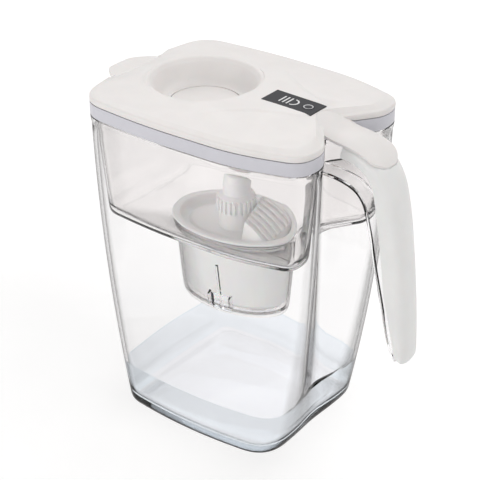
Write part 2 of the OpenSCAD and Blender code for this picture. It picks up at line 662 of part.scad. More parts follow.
// raised middle of the lid and the tongue over the handle: [x, half width, top at the middle]
tongue_tip_x = rim_rear + 29.5;
tongue_line = [
  [-12, rim_half_w - 16], [4, rim_half_w - 28], [18, rim_half_w - 38.5],
  [33, rim_half_w - 47.5], [48, tongue_half_w + 4.5], [62, tongue_half_w + 1.2],
  [rim_rear - 18, tongue_half_w + 0.4], [rim_rear - 9, tongue_half_w],
  [rim_rear, tongue_half_w], [rim_rear + 9, tongue_half_w], [rim_rear + 17, tongue_half_w],
  [rim_rear + 22, tongue_half_w - 0.8], [rim_rear + 26, tongue_half_w - 4],
  [rim_rear + 28.6, tongue_half_w - 8.5], [tongue_tip_x, 4]];
// the tongue follows the handle's back line from here on
function back_height(x) = let (i = [for (k = [1 : back_n - 1])
    if (handle_back[k].x >= x && handle_back[k - 1].x < x) k][0],
    a = handle_back[i - 1], b = handle_back[i]) mix(a.y, b.y, (x - a.x) / (b.x - a.x));
function tongue_top(x, y, w) =
  let (on_lid = lid_height(x, min(abs(y), w)) + crease_h * ease((x + 12) / 40),
       over = back_height(max(x, notch_x + 13)) + 0.6 - 2.6 * pow(abs(y) / handle_half_w, 2.6))
  mix(on_lid, over, ease((x - 56) / 32));
tongue_cols = [-1, -0.93, -0.7, -0.4, 0, 0.4, 0.7, 0.93, 1];
// space that the tongue takes out of the handle's shell
module tongue_room() {
  gap = 0.35;
  over = [for (s = tongue_line) if (s.x > notch_x + 8) s];
  loft([for (i = [0 : len(over)]) let (s = over[min(i, len(over) - 1)],
      x = s.x + (i == len(over) ? gap : 0), w = s.y + gap)
    concat([for (c = tongue_cols) [x, c * w, jug_h + 40]],
      [for (k = [len(tongue_cols) - 1 : -1 : 0]) let (c = tongue_cols[k])
        [x, c * w, tongue_top(s.x, c * s.y, s.y) - tongue_t - gap]])]);
}
module lid_tongue() {
  loft([for (s = tongue_line) concat(
    [for (c = tongue_cols) [s.x, c * s.y,
      tongue_top(s.x, c * s.y, s.y) - (abs(c) == 1 ? 1 : 0)]],
    [for (i = [len(tongue_cols) - 1 : -1 : 0]) let (c = tongue_cols[i])
      [s.x, c * s.y * 0.98, tongue_top(s.x, c * s.y, s.y) - tongue_t]])]);
}

// hinge of the pour flap on the front edge of the lid
pour_hinge_x = -rim_front + 7;
pour_barrel_r = pour_pin_r + 1;
pour_hinge_z = lid_top - dip_h - pour_barrel_r + 0.1;
pour_lug_y = pour_flap_half_w + flap_gap;
// hinge of the fill flap, in front of its opening: the spring stands between knuckle and ear
spring_side_gap = 0.3;
spring_l = spring_turns * (2 * spring_wire_r + 0.55);
fill_hinge_x = fill_x - fill_floor_r - 4.2;
fill_knuckle_r = fill_pin_r + 1.5;
fill_hinge_z = fill_floor_z - lid_floor_t - fill_knuckle_r - 0.4;
fill_knuckle_y = 6;
fill_lug_y = fill_knuckle_y + spring_l + 2 * spring_wire_r + 2 * spring_side_gap;

module cross_pin(r, l, x, z) {
  translate([x, 0, z])
    rotate([90, 0, 0])
      cylinder(r = r, h = l, center = true);
}

// local frame of the timer, on the lid's raised middle
window_z = lid_height(window_x, 0) + crease_h - 0.15;
module at_window() {
  translate([window_x, 0, window_z])
    rotate([0, window_tilt, 0])
      children();
}
case_l = window_l - 3;
case_w = window_w - 1.6;
case_h = 8.6;

module lid() {
  color([0.93, 0.92, 0.91])
    difference() {
      union() {
        lid_skin();
        difference() {
          lid_tongue();
          translate([fill_x, 0, fill_floor_z])
            cylinder(r = fill_r + 2.4, h = 40);
        }
        // cheeks that carry the pour flap's pin
        for (s = [-1, 1])
          translate([pour_hinge_x - 2.4, s * (pour_lug_y + 2) - 2, lid_z - 4.6])
            cube([5.8, 4, 4.9]);
        // ears of the fill flap's hinge
        for (s = [-1, 1])
          translate([fill_hinge_x - 2.6, s * (fill_lug_y + 1.3) - 1, fill_hinge_z - 2.4])
            cube([5.2, 2, fill_floor_z - fill_hinge_z + 6]);
      }
      // window pocket and the hole for the timer's case
      at_window() {
        translate([-window_l / 2 - small_gap, -window_w / 2 - small_gap, -window_t - 0.1])
          cube([window_l + 2 * small_gap, window_w + 2 * small_gap, 10]);
        translate([-case_l / 2 - small_gap, -case_w / 2 - small_gap, -10])
          cube([case_l + 2 * small_gap, case_w + 2 * small_gap, 12]);
      }
      // room for the pour flap
      translate([-rim_front - 20, -pour_lug_y, lid_z - 8])
        cube([pour_hinge_x + rim_front + 20 + pour_barrel_r + flap_gap, 2 * pour_lug_y, 30]);
      cross_pin(pour_pin_r + pin_gap, 2 * pour_lug_y + 6, pour_hinge_x, pour_hinge_z);
      cross_pin(fill_pin_r + pin_gap, 2 * fill_lug_y + 10, fill_hinge_x, fill_hinge_z);
    }
}

// ---------------------------------------------------------------- flaps
module fill_flap() {
  plug_r = fill_floor_r - flap_gap;
  disc_r = fill_floor_r + 1.8;
  disc_z = fill_floor_z - lid_floor_t - seat_gap;
  color([0.95, 0.95, 0.96])
    difference() {
      union() {
        translate([fill_x, 0, disc_z])
          rotate_extrude()
            polygon([[0, 0], [plug_r - 3, 0], [plug_r - 3, -1.8], [disc_r, -1.8],
              [disc_r, 0], [plug_r, 0], [plug_r, lid_floor_t + seat_gap - 0.5],
              [plug_r - 0.5, lid_floor_t + seat_gap], [0, lid_floor_t + seat_gap - 0.4]]);
        // knuckle on the hinge pin, from one ear to the spring
        translate([0, (fill_knuckle_y - fill_lug_y) / 2, 0])
          cross_pin(fill_knuckle_r, fill_lug_y + fill_knuckle_y, fill_hinge_x, fill_hinge_z);
        translate([fill_hinge_x, -fill_lug_y, disc_z - 1.8])
          cube([7, fill_lug_y + fill_knuckle_y, 1.6]);
      }
      cross_pin(fill_pin_r + pin_gap, 60, fill_hinge_x, fill_hinge_z);
    }
}
module flap_pin() {
  color([0.75, 0.76, 0.78])
    cross_pin(fill_pin_r, 2 * fill_lug_y + 4.4, fill_hinge_x, fill_hinge_z);
}

// torsion spring round the fill flap's pin, one unbroken wire between the knuckle and an ear
spring_steps = 12;
spring_n = spring_turns * spring_steps;
spring_r = fill_pin_r + spring_wire_r + 0.25;
spring_y = fill_knuckle_y + spring_side_gap + spring_wire_r;
function spring_point(i, r, dy) = let (a = 360 * i / spring_steps)
  [fill_hinge_x + r * sin(a), spring_y + spring_l * i / spring_n + dy, fill_hinge_z + r * cos(a)];
// least gap between turns, measured on the wire's middle line
spring_gap = min([for (i = [0 : spring_n], j = [i + spring_steps / 2 : spring_n])
  norm(spring_point(i, spring_r, 0) - spring_point(j, spring_r, 0))]) - 2 * spring_wire_r;
echo(least_gap_between_spring_turns_mm = spring_gap);
module flap_spring() {
  sides = 6;
  color([0.7, 0.71, 0.74])
    loft([for (i = [0 : spring_n])
      [for (j = [0 : sides - 1]) let (b = -360 * j / sides)
        spring_point(i, spring_r + spring_wire_r * cos(b), spring_wire_r * sin(b))]]);
}

// plan of the pour flap from its hinge line to its tip
function flap_plan(inset) =
  let (w = pour_flap_half_w - 0.3 - inset, tip = -pour_flap_l + inset,
       c = [[0, -w, 0], [-5, -w, 4.5], [tip, -w + 11, 6], [tip, w - 11, 6], [-5, w, 4.5],
         [0, w, 0]])
  concat([[-0.5, -w]], [for (i = [1 : 4]) each plan_corner(c[i - 1], c[i], c[i + 1], 0)],
    [[-0.5, w]]);
module spout_flap() {
  skin = 1.5;
  top = pour_barrel_r - 0.25;
  color([0.94, 0.93, 0.92])
    translate([pour_hinge_x, 0, pour_hinge_z])
      difference() {
        union() {
          rotate([0, -5, 0])
            difference() {
              translate([0, 0, top - 3])
                linear_extrude(3)
                  polygon(flap_plan(0));
              translate([0, 0, -5])
                linear_extrude(5 + top - skin)
                  polygon(flap_plan(1.6));
            }
          cross_pin(pour_barrel_r, 2 * pour_flap_half_w, 0, 0);
        }
        cross_pin(pour_pin_r + pin_gap, 2 * pour_flap_half_w + 10, 0, 0);
      }
}
module spout_pin() {
  color([0.75, 0.76, 0.78])
    cross_pin(pour_pin_r, 2 * pour_lug_y + 5.6, pour_hinge_x, pour_hinge_z);
}

// ---------------------------------------------------------------- timer
case_top = -window_t - 0.7;
board_z = case_top - case_h + 4.9;
dome_z = board_z + 1 + small_gap;
button_x = 12;
bar_w = 1.1;
bar_l = 9.4;
bar_pitch = 3;
bar_depth = 0.6;
bars_x = -9.9;
display_t = 1;
module bar_shapes(gap) {
  for (i = [0 : bar_count - 1])
    translate([bars_x + i * bar_pitch - gap, -bar_l / 2 - gap])
      square([bar_w + 2 * gap, bar_l + 2 * gap]);
  // last level: a half round ring
  translate([bars_x + bar_count * bar_pitch, 0])
    intersection() {
      difference() {
        circle(r = bar_l / 2 + gap);
        circle(r = bar_l / 2 - bar_w - gap);
      }
      translate([-gap, -bar_l])
        square([bar_l, 2 * bar_l]);
    }
}
module display_plate(gap) {
  translate([bars_x - 1.5 - gap, -bar_l / 2 - 1.5 - gap])
    square([bar_count * bar_pitch + bar_l / 2 + 3 + 2 * gap, bar_l + 3 + 2 * gap]);
}
module timer_window() {
  color([0.2, 0.2, 0.22])
    at_window()
      difference() {
        translate([-window_l / 2, -window_w / 2, -window_t])
          cube([window_l, window_w, window_t]);
        translate([0, 0, -bar_depth - 1])
          linear_extrude(3)
            bar_shapes(small_gap);
        translate([0, 0, -window_t - 1])
          linear_extrude(window_t + 1 - bar_depth)
            display_plate(small_gap);
        translate([button_x, 0, -5])
          cylinder(r = button_r + 0.15, h = 10);
        translate([button_x, 0, -window_t - 1])
          cylinder(r = button_r + 1, h = 1.9);
      }
}
// display plate in a pocket of the window, its bars stand in the window's slots
module level_display() {
  color([0.85, 0.86, 0.88])
    at_window() {
      translate([0, 0, -bar_depth - small_gap - display_t])
        linear_extrude(display_t)
          display_plate(0);
      translate([0, 0, -bar_depth - small_gap - 0.2])
        linear_extrude(bar_depth + small_gap + 0.2)
          bar_shapes(0);
    }
}
stem_z = dome_z + 0.6 + button_travel + small_gap;
module reset_button() {
  color([0.24, 0.24, 0.26])
    at_window()
      translate([button_x, 0, 0])
        difference() {
          rotate_extrude()
            polygon([[0, stem_z], [1.4, stem_z], [1.4, -2], [button_r + 0.8, -2],
              [button_r + 0.8, -1], [button_r, -1], [button_r, 0.1], [button_r - 0.3, 0.3],
              [button_r - 1, 0.3], [button_r - 1.15, 0.1], [0, 0.1]]);
          translate([-button_r, -0.1, 0])
            cube([1, 0.2, 1]);
        }
}
module window_seal() {
  color([0.3, 0.3, 0.32])
    at_window()
      translate([0, 0, -window_t - 0.6])
        linear_extrude(0.5)
          difference() {
            square([case_l - 0.4, case_w - 0.4], center = true);
            square([case_l - 3.2, case_w - 3.2], center = true);
          }
}
// open-topped case below the window, with a round battery door in its floor
case_wall = 1.3;
module timer_case() {
  color([0.85, 0.85, 0.85])
    at_window()
      difference() {
        union() {
          translate([-case_l / 2, -case_w / 2, case_top - case_h])
            cube([case_l, case_w, case_h]);
          translate([-6, 0, case_top - case_h - 0.4])
            cylinder(r = case_w / 2 + 0.6, h = 2);
        }
        translate([-case_l / 2 + case_wall, -case_w / 2 + case_wall, board_z - small_gap])
          cube([case_l - 2 * case_wall, case_w - 2 * case_wall, case_h]);
        translate([-6, 0, case_top - case_h + 1.4])
          cylinder(r = cell_r + 0.2, h = 5);
        translate([-6, 0, case_top - case_h - 1])
          cylinder(r = cell_r - 0.4, h = 4);
      }
}
module circuit_board() {
  color([0.1, 0.35, 0.2])
    at_window()
      translate([-case_l / 2 + case_wall + 0.2, -case_w / 2 + case_wall + 0.2, board_z])
        cube([case_l - 2 * case_wall - 0.4, case_w - 2 * case_wall - 0.4, 1]);
}
module button_dome() {
  color([0.8, 0.8, 0.82])
    at_window()
      translate([button_x, 0, dome_z])
        rotate_extrude()
          polygon([[0, 0.4], [1.6, 0.3], [2.4, 0], [2.6, 0], [2.6, 0.2], [1.7, 0.5], [0, 0.6]]);
}
module coin_cell() {
  color([0.8, 0.81, 0.83])
    at_window()
      translate([-6, 0, case_top - case_h + 1.5])
        cylinder(r = cell_r, h = cell_t - 0.2);
}
module battery_contact() {
  color([0.78, 0.7, 0.4])
    at_window()
      translate([-6, 0, case_top - case_h + 1.5 + cell_t - 0.1])
        linear_extrude(0.15)
          square([6, 4], center = true);
}
module battery_cover() {
  color([0.82, 0.82, 0.82])
    at_window()
      translate([-6, 0, case_top - case_h])
        difference() {
          translate([0, 0, -0.4])
            cylinder(r = cell_r - 0.5, h = 1.8);
          translate([-5, -0.8, -1])
            cube([10, 1.6, 1.4]);
        }
}
jug();
handle_shell();
hopper();
hopper_collar();
cartridge_cup();
cartridge_cover();
cartridge_knob();
cartridge_seal();
upper_felt();
filter_media();
lower_felt();
outlet_grille();
lid();
fill_flap();
flap_pin();
flap_spring();
spout_flap();
spout_pin();
timer_window();
level_display();
timer_case();
window_seal();
circuit_board();
battery_contact();
coin_cell();
battery_cover();
reset_button();
button_dome();
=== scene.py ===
"""Looks of the water filter pitcher.

Materials, refined pieces in place of the faceted solids, the water in the jug, camera and light.
"""

import json
import math

import bmesh
import bpy
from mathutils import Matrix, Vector


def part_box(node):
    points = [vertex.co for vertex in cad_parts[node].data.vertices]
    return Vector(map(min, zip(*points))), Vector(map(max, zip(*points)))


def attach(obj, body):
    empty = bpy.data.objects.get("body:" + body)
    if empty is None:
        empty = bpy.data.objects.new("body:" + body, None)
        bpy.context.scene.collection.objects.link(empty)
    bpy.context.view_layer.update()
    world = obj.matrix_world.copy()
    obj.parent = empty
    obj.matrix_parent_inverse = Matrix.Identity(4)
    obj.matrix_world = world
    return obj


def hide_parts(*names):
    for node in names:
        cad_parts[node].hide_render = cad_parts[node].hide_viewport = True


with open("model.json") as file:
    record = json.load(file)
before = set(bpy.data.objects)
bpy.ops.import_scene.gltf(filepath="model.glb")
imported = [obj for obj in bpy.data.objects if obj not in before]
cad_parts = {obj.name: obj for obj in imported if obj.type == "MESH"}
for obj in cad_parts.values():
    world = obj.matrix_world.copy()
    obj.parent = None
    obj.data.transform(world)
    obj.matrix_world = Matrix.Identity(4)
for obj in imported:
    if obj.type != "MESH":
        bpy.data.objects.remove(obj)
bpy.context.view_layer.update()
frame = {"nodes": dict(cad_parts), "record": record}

MM = 0.001


# ---- nodes --------------------------------------------------------------------------------------
def new_material(name):
    """A material with an empty node tree, its nodes and links, and its output node."""
    mat = bpy.data.materials.new(name)
    mat.use_nodes = True
    nodes, links = mat.node_tree.nodes, mat.node_tree.links
    nodes.clear()
    return mat, nodes, links, nodes.new("ShaderNodeOutputMaterial")


def object_noise(nodes, links, scale, detail=3.0):
    """Noise in the object's own coordinates, which don't depend on the view."""
    place = nodes.new("ShaderNodeTexCoord")
    noise = nodes.new("ShaderNodeTexNoise")
    noise.inputs["Scale"].default_value = scale
    noise.inputs["Detail"].default_value = detail
    links.new(place.outputs["Object"], noise.inputs["Vector"])
    return noise


def tint(nodes, links, noise, low, high):
    """A colour that goes from low to high with the noise."""
    ramp = nodes.new("ShaderNodeValToRGB")
    ramp.color_ramp.elements[0].position = 0.35
    ramp.color_ramp.elements[0].color = (*low, 1)
    ramp.color_ramp.elements[1].position = 0.65
    ramp.color_ramp.elements[1].color = (*high, 1)
    links.new(noise.outputs["Fac"], ramp.inputs["Fac"])
    return ramp.outputs["Color"]


def bump(nodes, links, noise, strength, distance):
    """Normals of a surface whose height is the noise."""
    node = nodes.new("ShaderNodeBump")
    node.inputs["Strength"].default_value = strength
    node.inputs["Distance"].default_value = distance
    links.new(noise.outputs["Fac"], node.inputs["Height"])
    return node.outputs["Normal"]


def math_node(nodes, links, operation, *values, clamp=False):
    """The result of a Math node. Its values are other nodes' outputs or plain numbers."""
    node = nodes.new("ShaderNodeMath")
    node.operation = operation
    node.use_clamp = clamp
    for value, socket in zip(values, node.inputs):
        if isinstance(value, bpy.types.NodeSocket):
            links.new(value, socket)
        else:
            socket.default_value = value
    return node.outputs[0]


MIX_PLAIN, MIX_CHANGED, MIX_RESULT = 6, 7, 2    # a Mix node's sockets for colours


def mix_colors(nodes, links, share, plain, changed):
    """The output plain where share is 0, and the colour changed where it is 1."""
    node = nodes.new("ShaderNodeMix")
    node.data_type = "RGBA"
    links.new(share, node.inputs["Factor"])
    links.new(plain, node.inputs[MIX_PLAIN])
    node.inputs[MIX_CHANGED].default_value = (*changed, 1)
    return node.outputs[MIX_RESULT]


def mix_shaders(nodes, links, share, one, other):
    """The shader one where share is 0, and the shader other where it is 1."""
    node = nodes.new("ShaderNodeMixShader")
    links.new(share, node.inputs["Fac"])
    links.new(one, node.inputs[1])
    links.new(other, node.inputs[2])
    return node.outputs["Shader"]


def distance_from(nodes, links, x, y, z):
    """How far a point of the object is from a place in the object's own coordinates."""
    place = nodes.new("ShaderNodeTexCoord")
    away = nodes.new("ShaderNodeVectorMath")
    away.operation = "DISTANCE"
    links.new(place.outputs["Object"], away.inputs[0])
    away.inputs[1].default_value = (x, y, z)
    return away.outputs["Value"]


def recolor(mat, share, color):
    """Gives a material another colour where share is 1."""
    nodes, links = mat.node_tree.nodes, mat.node_tree.links
    base = next(node for node in nodes if node.type == "BSDF_PRINCIPLED").inputs["Base Color"]
    links.new(mix_colors(nodes, links, share, base.links[0].from_socket, color), base)


# ---- materials ----------------------------------------------------------------------------------
MOTTLE_SCALE = 60
CLEAR_MOTTLE_SCALE = 40
GRAIN_STRENGTH = 0.15
SCATTER_DEPTH = 0.004

CLEAR_SHEEN = 0.1       # low, so that reflections don't hide what is behind the clear walls
EDGE_SHADE_FROM = 0.045       # Fresnel value from which the painted edge shade shows
EDGE_SHADE_POWER = 0.6
EDGE_SHADE_GAIN = 1.6

RING_R = 0.0031
RING_HALF_W = 0.0004
RING_COLOR = (0.55, 0.55, 0.56)
WHITE_LID = (0.775, 0.75, 0.735)


def shade(color, amount):
    return tuple(c * amount for c in color)


def solid(name, color, roughness=0.4, metallic=0.0, grain=400, spread=0.03, grain_depth=0.00002,
          subsurface=0.0, specular=0.5):
    """An opaque material with a faint mottle of its colour and a fine grain."""
    mat, nodes, links, out = new_material(name)
    shader = nodes.new("ShaderNodeBsdfPrincipled")
    shader.inputs["Roughness"].default_value = roughness
    shader.inputs["Metallic"].default_value = metallic
    shader.inputs["Specular IOR Level"].default_value = specular
    shader.inputs["Subsurface Weight"].default_value = subsurface
    shader.inputs["Subsurface Scale"].default_value = SCATTER_DEPTH
    mottle = object_noise(nodes, links, MOTTLE_SCALE)
    links.new(tint(nodes, links, mottle, shade(color, 1 - spread), color),
              shader.inputs["Base Color"])
    fine = object_noise(nodes, links, grain, 2)
    links.new(bump(nodes, links, fine, GRAIN_STRENGTH, grain_depth), shader.inputs["Normal"])
    links.new(shader.outputs["BSDF"], out.inputs["Surface"])
    return mat


def clear(name, color, edge, roughness=0.02, ior=1.3):
    """Clear plastic: glass to the eye, with painted shade: its colour darkens where it is seen edge
    on. Light passes through.
    """
    mat, nodes, links, out = new_material(name)
    shader = nodes.new("ShaderNodeBsdfPrincipled")
    shader.inputs["Transmission Weight"].default_value = 1
    shader.inputs["IOR"].default_value = ior
    shader.inputs["Specular IOR Level"].default_value = CLEAR_SHEEN
    shader.inputs["Roughness"].default_value = roughness
    mottle = object_noise(nodes, links, CLEAR_MOTTLE_SCALE)
    face_on = tint(nodes, links, mottle, shade(color, 0.99), color)
    # painted shade: where the surface turns away from the eye, the colour goes to the dark edge
    # colour
    turned = nodes.new("ShaderNodeFresnel")
    turned.inputs["IOR"].default_value = ior
    share = math_node(nodes, links, "SUBTRACT", turned.outputs["Fac"], EDGE_SHADE_FROM, clamp=True)
    share = math_node(nodes, links, "POWER", share, EDGE_SHADE_POWER)
    share = math_node(nodes, links, "MULTIPLY", share, EDGE_SHADE_GAIN, clamp=True)
    links.new(mix_colors(nodes, links, share, face_on, edge), shader.inputs["Base Color"])
    through = nodes.new("ShaderNodeBsdfTransparent")
    path = nodes.new("ShaderNodeLightPath")
    surface = shader.outputs["BSDF"]
    for ray in ("Is Diffuse Ray", "Is Shadow Ray"):
        surface = mix_shaders(nodes, links, path.outputs[ray], surface, through.outputs["BSDF"])
    links.new(surface, out.inputs["Surface"])
    return mat


def button_material():
    """Dark button with a light ring printed on its top."""
    mat = solid("button_dark", (0.035, 0.035, 0.04), 0.5, specular=0.15)
    nodes, links = mat.node_tree.nodes, mat.node_tree.links
    low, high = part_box("reset_button")
    middle = low.lerp(high, 0.5)
    away = distance_from(nodes, links, middle.x, middle.y, high[2])
    recolor(mat, math_node(nodes, links, "COMPARE", away, RING_R, RING_HALF_W), RING_COLOR)
    return mat


MATERIALS = {
    # the second colour of each clear material is its painted edge shade
    "jug_clear": lambda: clear("jug_clear", (0.98, 0.977, 0.978), (0.02, 0.012, 0.012)),
    "hopper_clear": lambda: clear("hopper_clear", (0.935, 0.922, 0.918), (0.03, 0.02, 0.018)),
    "shell_white": lambda: solid("shell_white", (0.80, 0.80, 0.79), 0.32, subsurface=0.05),
    "collar_grey": lambda: solid("collar_grey", (0.60, 0.595, 0.64), 0.35),
    "cartridge_white": lambda: solid("cartridge_white", (0.93, 0.92, 0.915), 0.4, subsurface=0.2),
    "knob_white": lambda: solid("knob_white", (0.95, 0.95, 0.95), 0.5, subsurface=0.2),
    "seal_silicone": lambda: solid("seal_silicone", (0.7, 0.71, 0.73), 0.45),
    "felt": lambda: solid("felt", (0.86, 0.86, 0.85), 0.95, grain=1500, grain_depth=0.0002),
    "media_grains": lambda: solid("media_grains", (0.05, 0.05, 0.052), 0.8, grain=700,
                                  spread=0.6, grain_depth=0.0006),
    "grille_white": lambda: solid("grille_white", (0.8, 0.8, 0.8), 0.5),
    "lid_white": lambda: solid("lid_white", WHITE_LID, 0.42, subsurface=0.05),
    "steel": lambda: solid("steel", (0.55, 0.56, 0.58), 0.3, metallic=1.0, grain=900),
    "window_dark": lambda: solid("window_dark", (0.03, 0.03, 0.034), 0.5, specular=0.15),
    "display_light": lambda: solid("display_light", (0.75, 0.75, 0.75), 0.5),
    "case_grey": lambda: solid("case_grey", (0.6, 0.6, 0.6), 0.5),
    "seal_dark": lambda: solid("seal_dark", (0.02, 0.02, 0.022), 0.6),
    "board_green": lambda: solid("board_green", (0.02, 0.09, 0.04), 0.35, spread=0.2),
    "contact_gold": lambda: solid("contact_gold", (0.75, 0.55, 0.25), 0.3, metallic=1.0),
    "cell_steel": lambda: solid("cell_steel", (0.6, 0.61, 0.63), 0.25, metallic=1.0),
    "button_dark": button_material,
}
made = {}


def material(slot):
    if slot not in made:
        made[slot] = MATERIALS[slot]()
    return made[slot]


def dress(obj, mat):
    obj.data.materials.clear()
    obj.data.materials.append(mat)


slots = {part["node"]: part["material_slot"] for part in frame["record"]["subparts"]}
for node, obj in frame["nodes"].items():
    for place in obj.material_slots:
        place.material = material(slots[node])


# ---- sizes, in millimetres, as in the part's source ---------------------------------------------
JUG_H = 235.0
RIM_FRONT = 103.0
RIM_REAR = 92.5
RIM_HALF_W = 74.0
BASE_FRONT = 68.8
BASE_REAR = 67.3
BASE_HALF_W = 66.5
NOTCH_DEPTH = 26.0
WALL_BULGE = 0.8
JUG_WALL = 2.6
JUG_FLOOR = 3.0
LIP_H = 3.4
LIP_PROUD = 0.6
HANDLE_HALF_W = 16.5
HANDLE_TIP_HALF_W = 10.5
SHELL_T = 2.2
FLANGE_T = 2.8
WEB_T = 2.6
COLLAR_H = 10.0
HOPPER_Z = 158.0
HOPPER_WALL = 1.9
HOPPER_TOP_INSET = 3.2
POUR_GAP = 12.0
GATE_HALF_W = 29.5
FLOOR_DROP = 8.0
CART_X = -6.0
WELL_A, WELL_B = 49.0, 36.5
WELL_LOW_A, WELL_LOW_B = 45.6, 28.6
WELL_DEPTH = 58.0
LID_T = 2.4
LID_EDGE_H = 5.4
LID_CROWN = 4.5
FILL_X = -34.0
FILL_R = 39.5
FILL_FLOOR_R = 25.8
FILL_DEPTH = 14.0
LID_FLOOR_T = 2.0
TONGUE_HALF_W = 15.5
TONGUE_T = 1.8
CREASE_H = 0.8
POUR_FLAP_HALF_W = 23.5
POUR_PIN_R = 1.0
FLAP_GAP = 0.5
FILL_PIN_R = 1.25
FILL_KNUCKLE_Y = 6.0
SPRING_WIRE_R = 0.4
SPRING_TURNS = 5
SPRING_TURN_GAP = 0.55
SPRING_SIDE_GAP = 0.3
WINDOW_L, WINDOW_W, WINDOW_T = 40.6, 19.0, 1.8
WINDOW_X = 42.4
WINDOW_TILT = 1.8
WINDOW_GAP = 0.1
SEAT_GAP = 0.2

COLLAR_TOP = JUG_H + COLLAR_H
LID_Z = COLLAR_TOP + SEAT_GAP
LID_TOP = COLLAR_TOP + LID_EDGE_H
WELL_Z = HOPPER_Z - FLOOR_DROP
WELL_LOW_Z = WELL_Z - 2 - WELL_DEPTH
NOTCH_X = RIM_REAR - NOTCH_DEPTH
TONGUE_TIP_X = RIM_REAR + 29.5

# plan outlines: (x, y, blend length) from the front round the +Y side to the rear
RIM_PLAN_HALF = [
    (-RIM_FRONT, 0, 34), (-RIM_FRONT + 14.5, RIM_HALF_W - 5.5, 18), (-30, RIM_HALF_W, 28),
    (46, RIM_HALF_W - 2, 22), (RIM_REAR - 1.7, RIM_HALF_W - 15.5, 12.5), (RIM_REAR, 36, 8),
    (RIM_REAR - NOTCH_DEPTH, 0, 8)]
BASE_PLAN_HALF = [
    (-BASE_FRONT, 0, 20), (-BASE_FRONT + 1.8, BASE_HALF_W - 4.5, 15), (-22, BASE_HALF_W, 22),
    (18, BASE_HALF_W - 0.8, 16), (BASE_REAR, BASE_HALF_W - 6.5, 24), (BASE_REAR, 25, 7),
    (BASE_REAR - 0.9, 0, 8)]
CORNER_STEPS = 13
POUR_BLEND = 16


# ---- curves and rings ---------------------------------------------------------------------------
def mix(a, b, t):
    if isinstance(a, (int, float)):
        return a + (b - a) * t
    return tuple(p + (q - p) * t for p, q in zip(a, b))


def ease(t):
    t = min(max(t, 0.0), 1.0)
    return t * t * (3 - 2 * t)


def closed_plan(half):
    """A plan's half with its mirror image, in one round."""
    return list(half) + [(x, -y, d) for x, y, d in half[-2:0:-1]]


RIM_PLAN = closed_plan(RIM_PLAN_HALF)
BASE_PLAN = closed_plan(BASE_PLAN_HALF)


def set_back(plan):
    """The plan with its front corner moved back, to leave the pouring channel."""
    return [(plan[0][0] + POUR_GAP, 0, POUR_BLEND)] + plan[1:]


RIM_PLAN_HOPPER = set_back(RIM_PLAN)
BASE_PLAN_HOPPER = set_back(BASE_PLAN)
RING_N = len(RIM_PLAN) * CORNER_STEPS


def unit(x, y):
    length = math.hypot(x, y)
    return x / length, y / length


def swell(z):
    """Share of the rim's plan at a height: the walls bulge a little on their way up."""
    t = min(z / JUG_H, 1.0)
    return t + WALL_BULGE * t * (1 - t)


def plan_corner(a, p, b, inset):
    """One plan corner moved inwards by inset, rounded by a quadratic blend."""
    e1 = unit(p[0] - a[0], p[1] - a[1])
    e2 = unit(b[0] - p[0], b[1] - p[1])
    dot = e1[0] * e2[0] + e1[1] * e2[1]
    turn = (e1[1] * e2[0] - e1[0] * e2[1]) / (1 + dot)
    reach = inset / (1 + dot)
    c = (p[0] + (e1[1] + e2[1]) * reach, p[1] - (e1[0] + e2[0]) * reach)
    d = max(p[2] - inset * turn, p[2] * 0.35)
    start = (c[0] - e1[0] * d, c[1] - e1[1] * d)
    end = (c[0] + e2[0] * d, c[1] + e2[1] * d)
    points = []
    for i in range(CORNER_STEPS):
        t = i / (CORNER_STEPS - 1)
        points.append(tuple(start[k] * (1 - t) ** 2 + c[k] * 2 * t * (1 - t) + end[k] * t * t
                            for k in (0, 1)))
    return points


def plan_ring(low, high, level, inset):
    plan = [mix(a, b, swell(level)) for a, b in zip(low, high)]
    n = len(plan)
    return [point for i in range(n)
            for point in plan_corner(plan[i - 1], plan[i], plan[(i + 1) % n], inset)]


def lift(ring, z):
    return [(x, y, z) for x, y in ring]


def jug_ring(z, inset):
    return lift(plan_ring(BASE_PLAN, RIM_PLAN, z, inset), z)


def jug_rings(*steps):
    return [jug_ring(z, inset) for z, inset in steps]


def hopper_ring(z, inset):
    return lift(plan_ring(BASE_PLAN_HOPPER, RIM_PLAN_HOPPER, z, inset), z)


def hopper_rings(*steps):
    return [hopper_ring(z, inset) for z, inset in steps]


def bearings(low, high, level, centre_x):
    """Bearings of a ring's points from a centre: even steps mixed with the true ones."""
    found = []
    for i, (x, y) in enumerate(plan_ring(low, high, level, 10)):
        even = 180 - 360 * (i + 0.5) / RING_N
        true = math.degrees(math.atan2(y, x - centre_x))
        true += 360 * round((even - true) / 360)
        found.append(math.radians(mix(even, true, 0.5)))
    return found


HOPPER_BEARINGS = bearings(BASE_PLAN_HOPPER, RIM_PLAN_HOPPER, HOPPER_Z, CART_X)
LID_BEARINGS = bearings(BASE_PLAN, RIM_PLAN, JUG_H, FILL_X)


def oval_ring(a, b, z):
    return [(CART_X + a * math.cos(t), b * math.sin(t), z) for t in HOPPER_BEARINGS]


def oval_rings(a, b, *steps):
    """Oval rings about the cartridge: the half axes a and b plus a step, each at its height."""
    return [oval_ring(a + d, b + d, z) for d, z in steps]


def round_ring(r, z):
    return [(FILL_X + r * math.cos(t), r * math.sin(t), z) for t in LID_BEARINGS]


def round_rings(*steps):
    return [round_ring(r, z) for r, z in steps]


def between(rings, steps):
    """The rings with steps - 1 more between each two, on smooth curves through them."""
    dense = []
    for i in range(len(rings) - 1):
        before, a, b = rings[max(i - 1, 0)], rings[i], rings[i + 1]
        after = rings[min(i + 2, len(rings) - 1)]
        for s in range(steps):
            t = s / steps
            dense.append([tuple(catmull(*values, t) for values in zip(p, q, r, u))
                          for p, q, r, u in zip(before, a, b, after)])
    return dense + [rings[-1]]


def catmull(p, a, b, q, t):
    return 0.5 * (2 * a + (b - p) * t + (2 * p - 5 * a + 4 * b - q) * t * t
                  + (3 * a - p - 3 * b + q) * t ** 3)


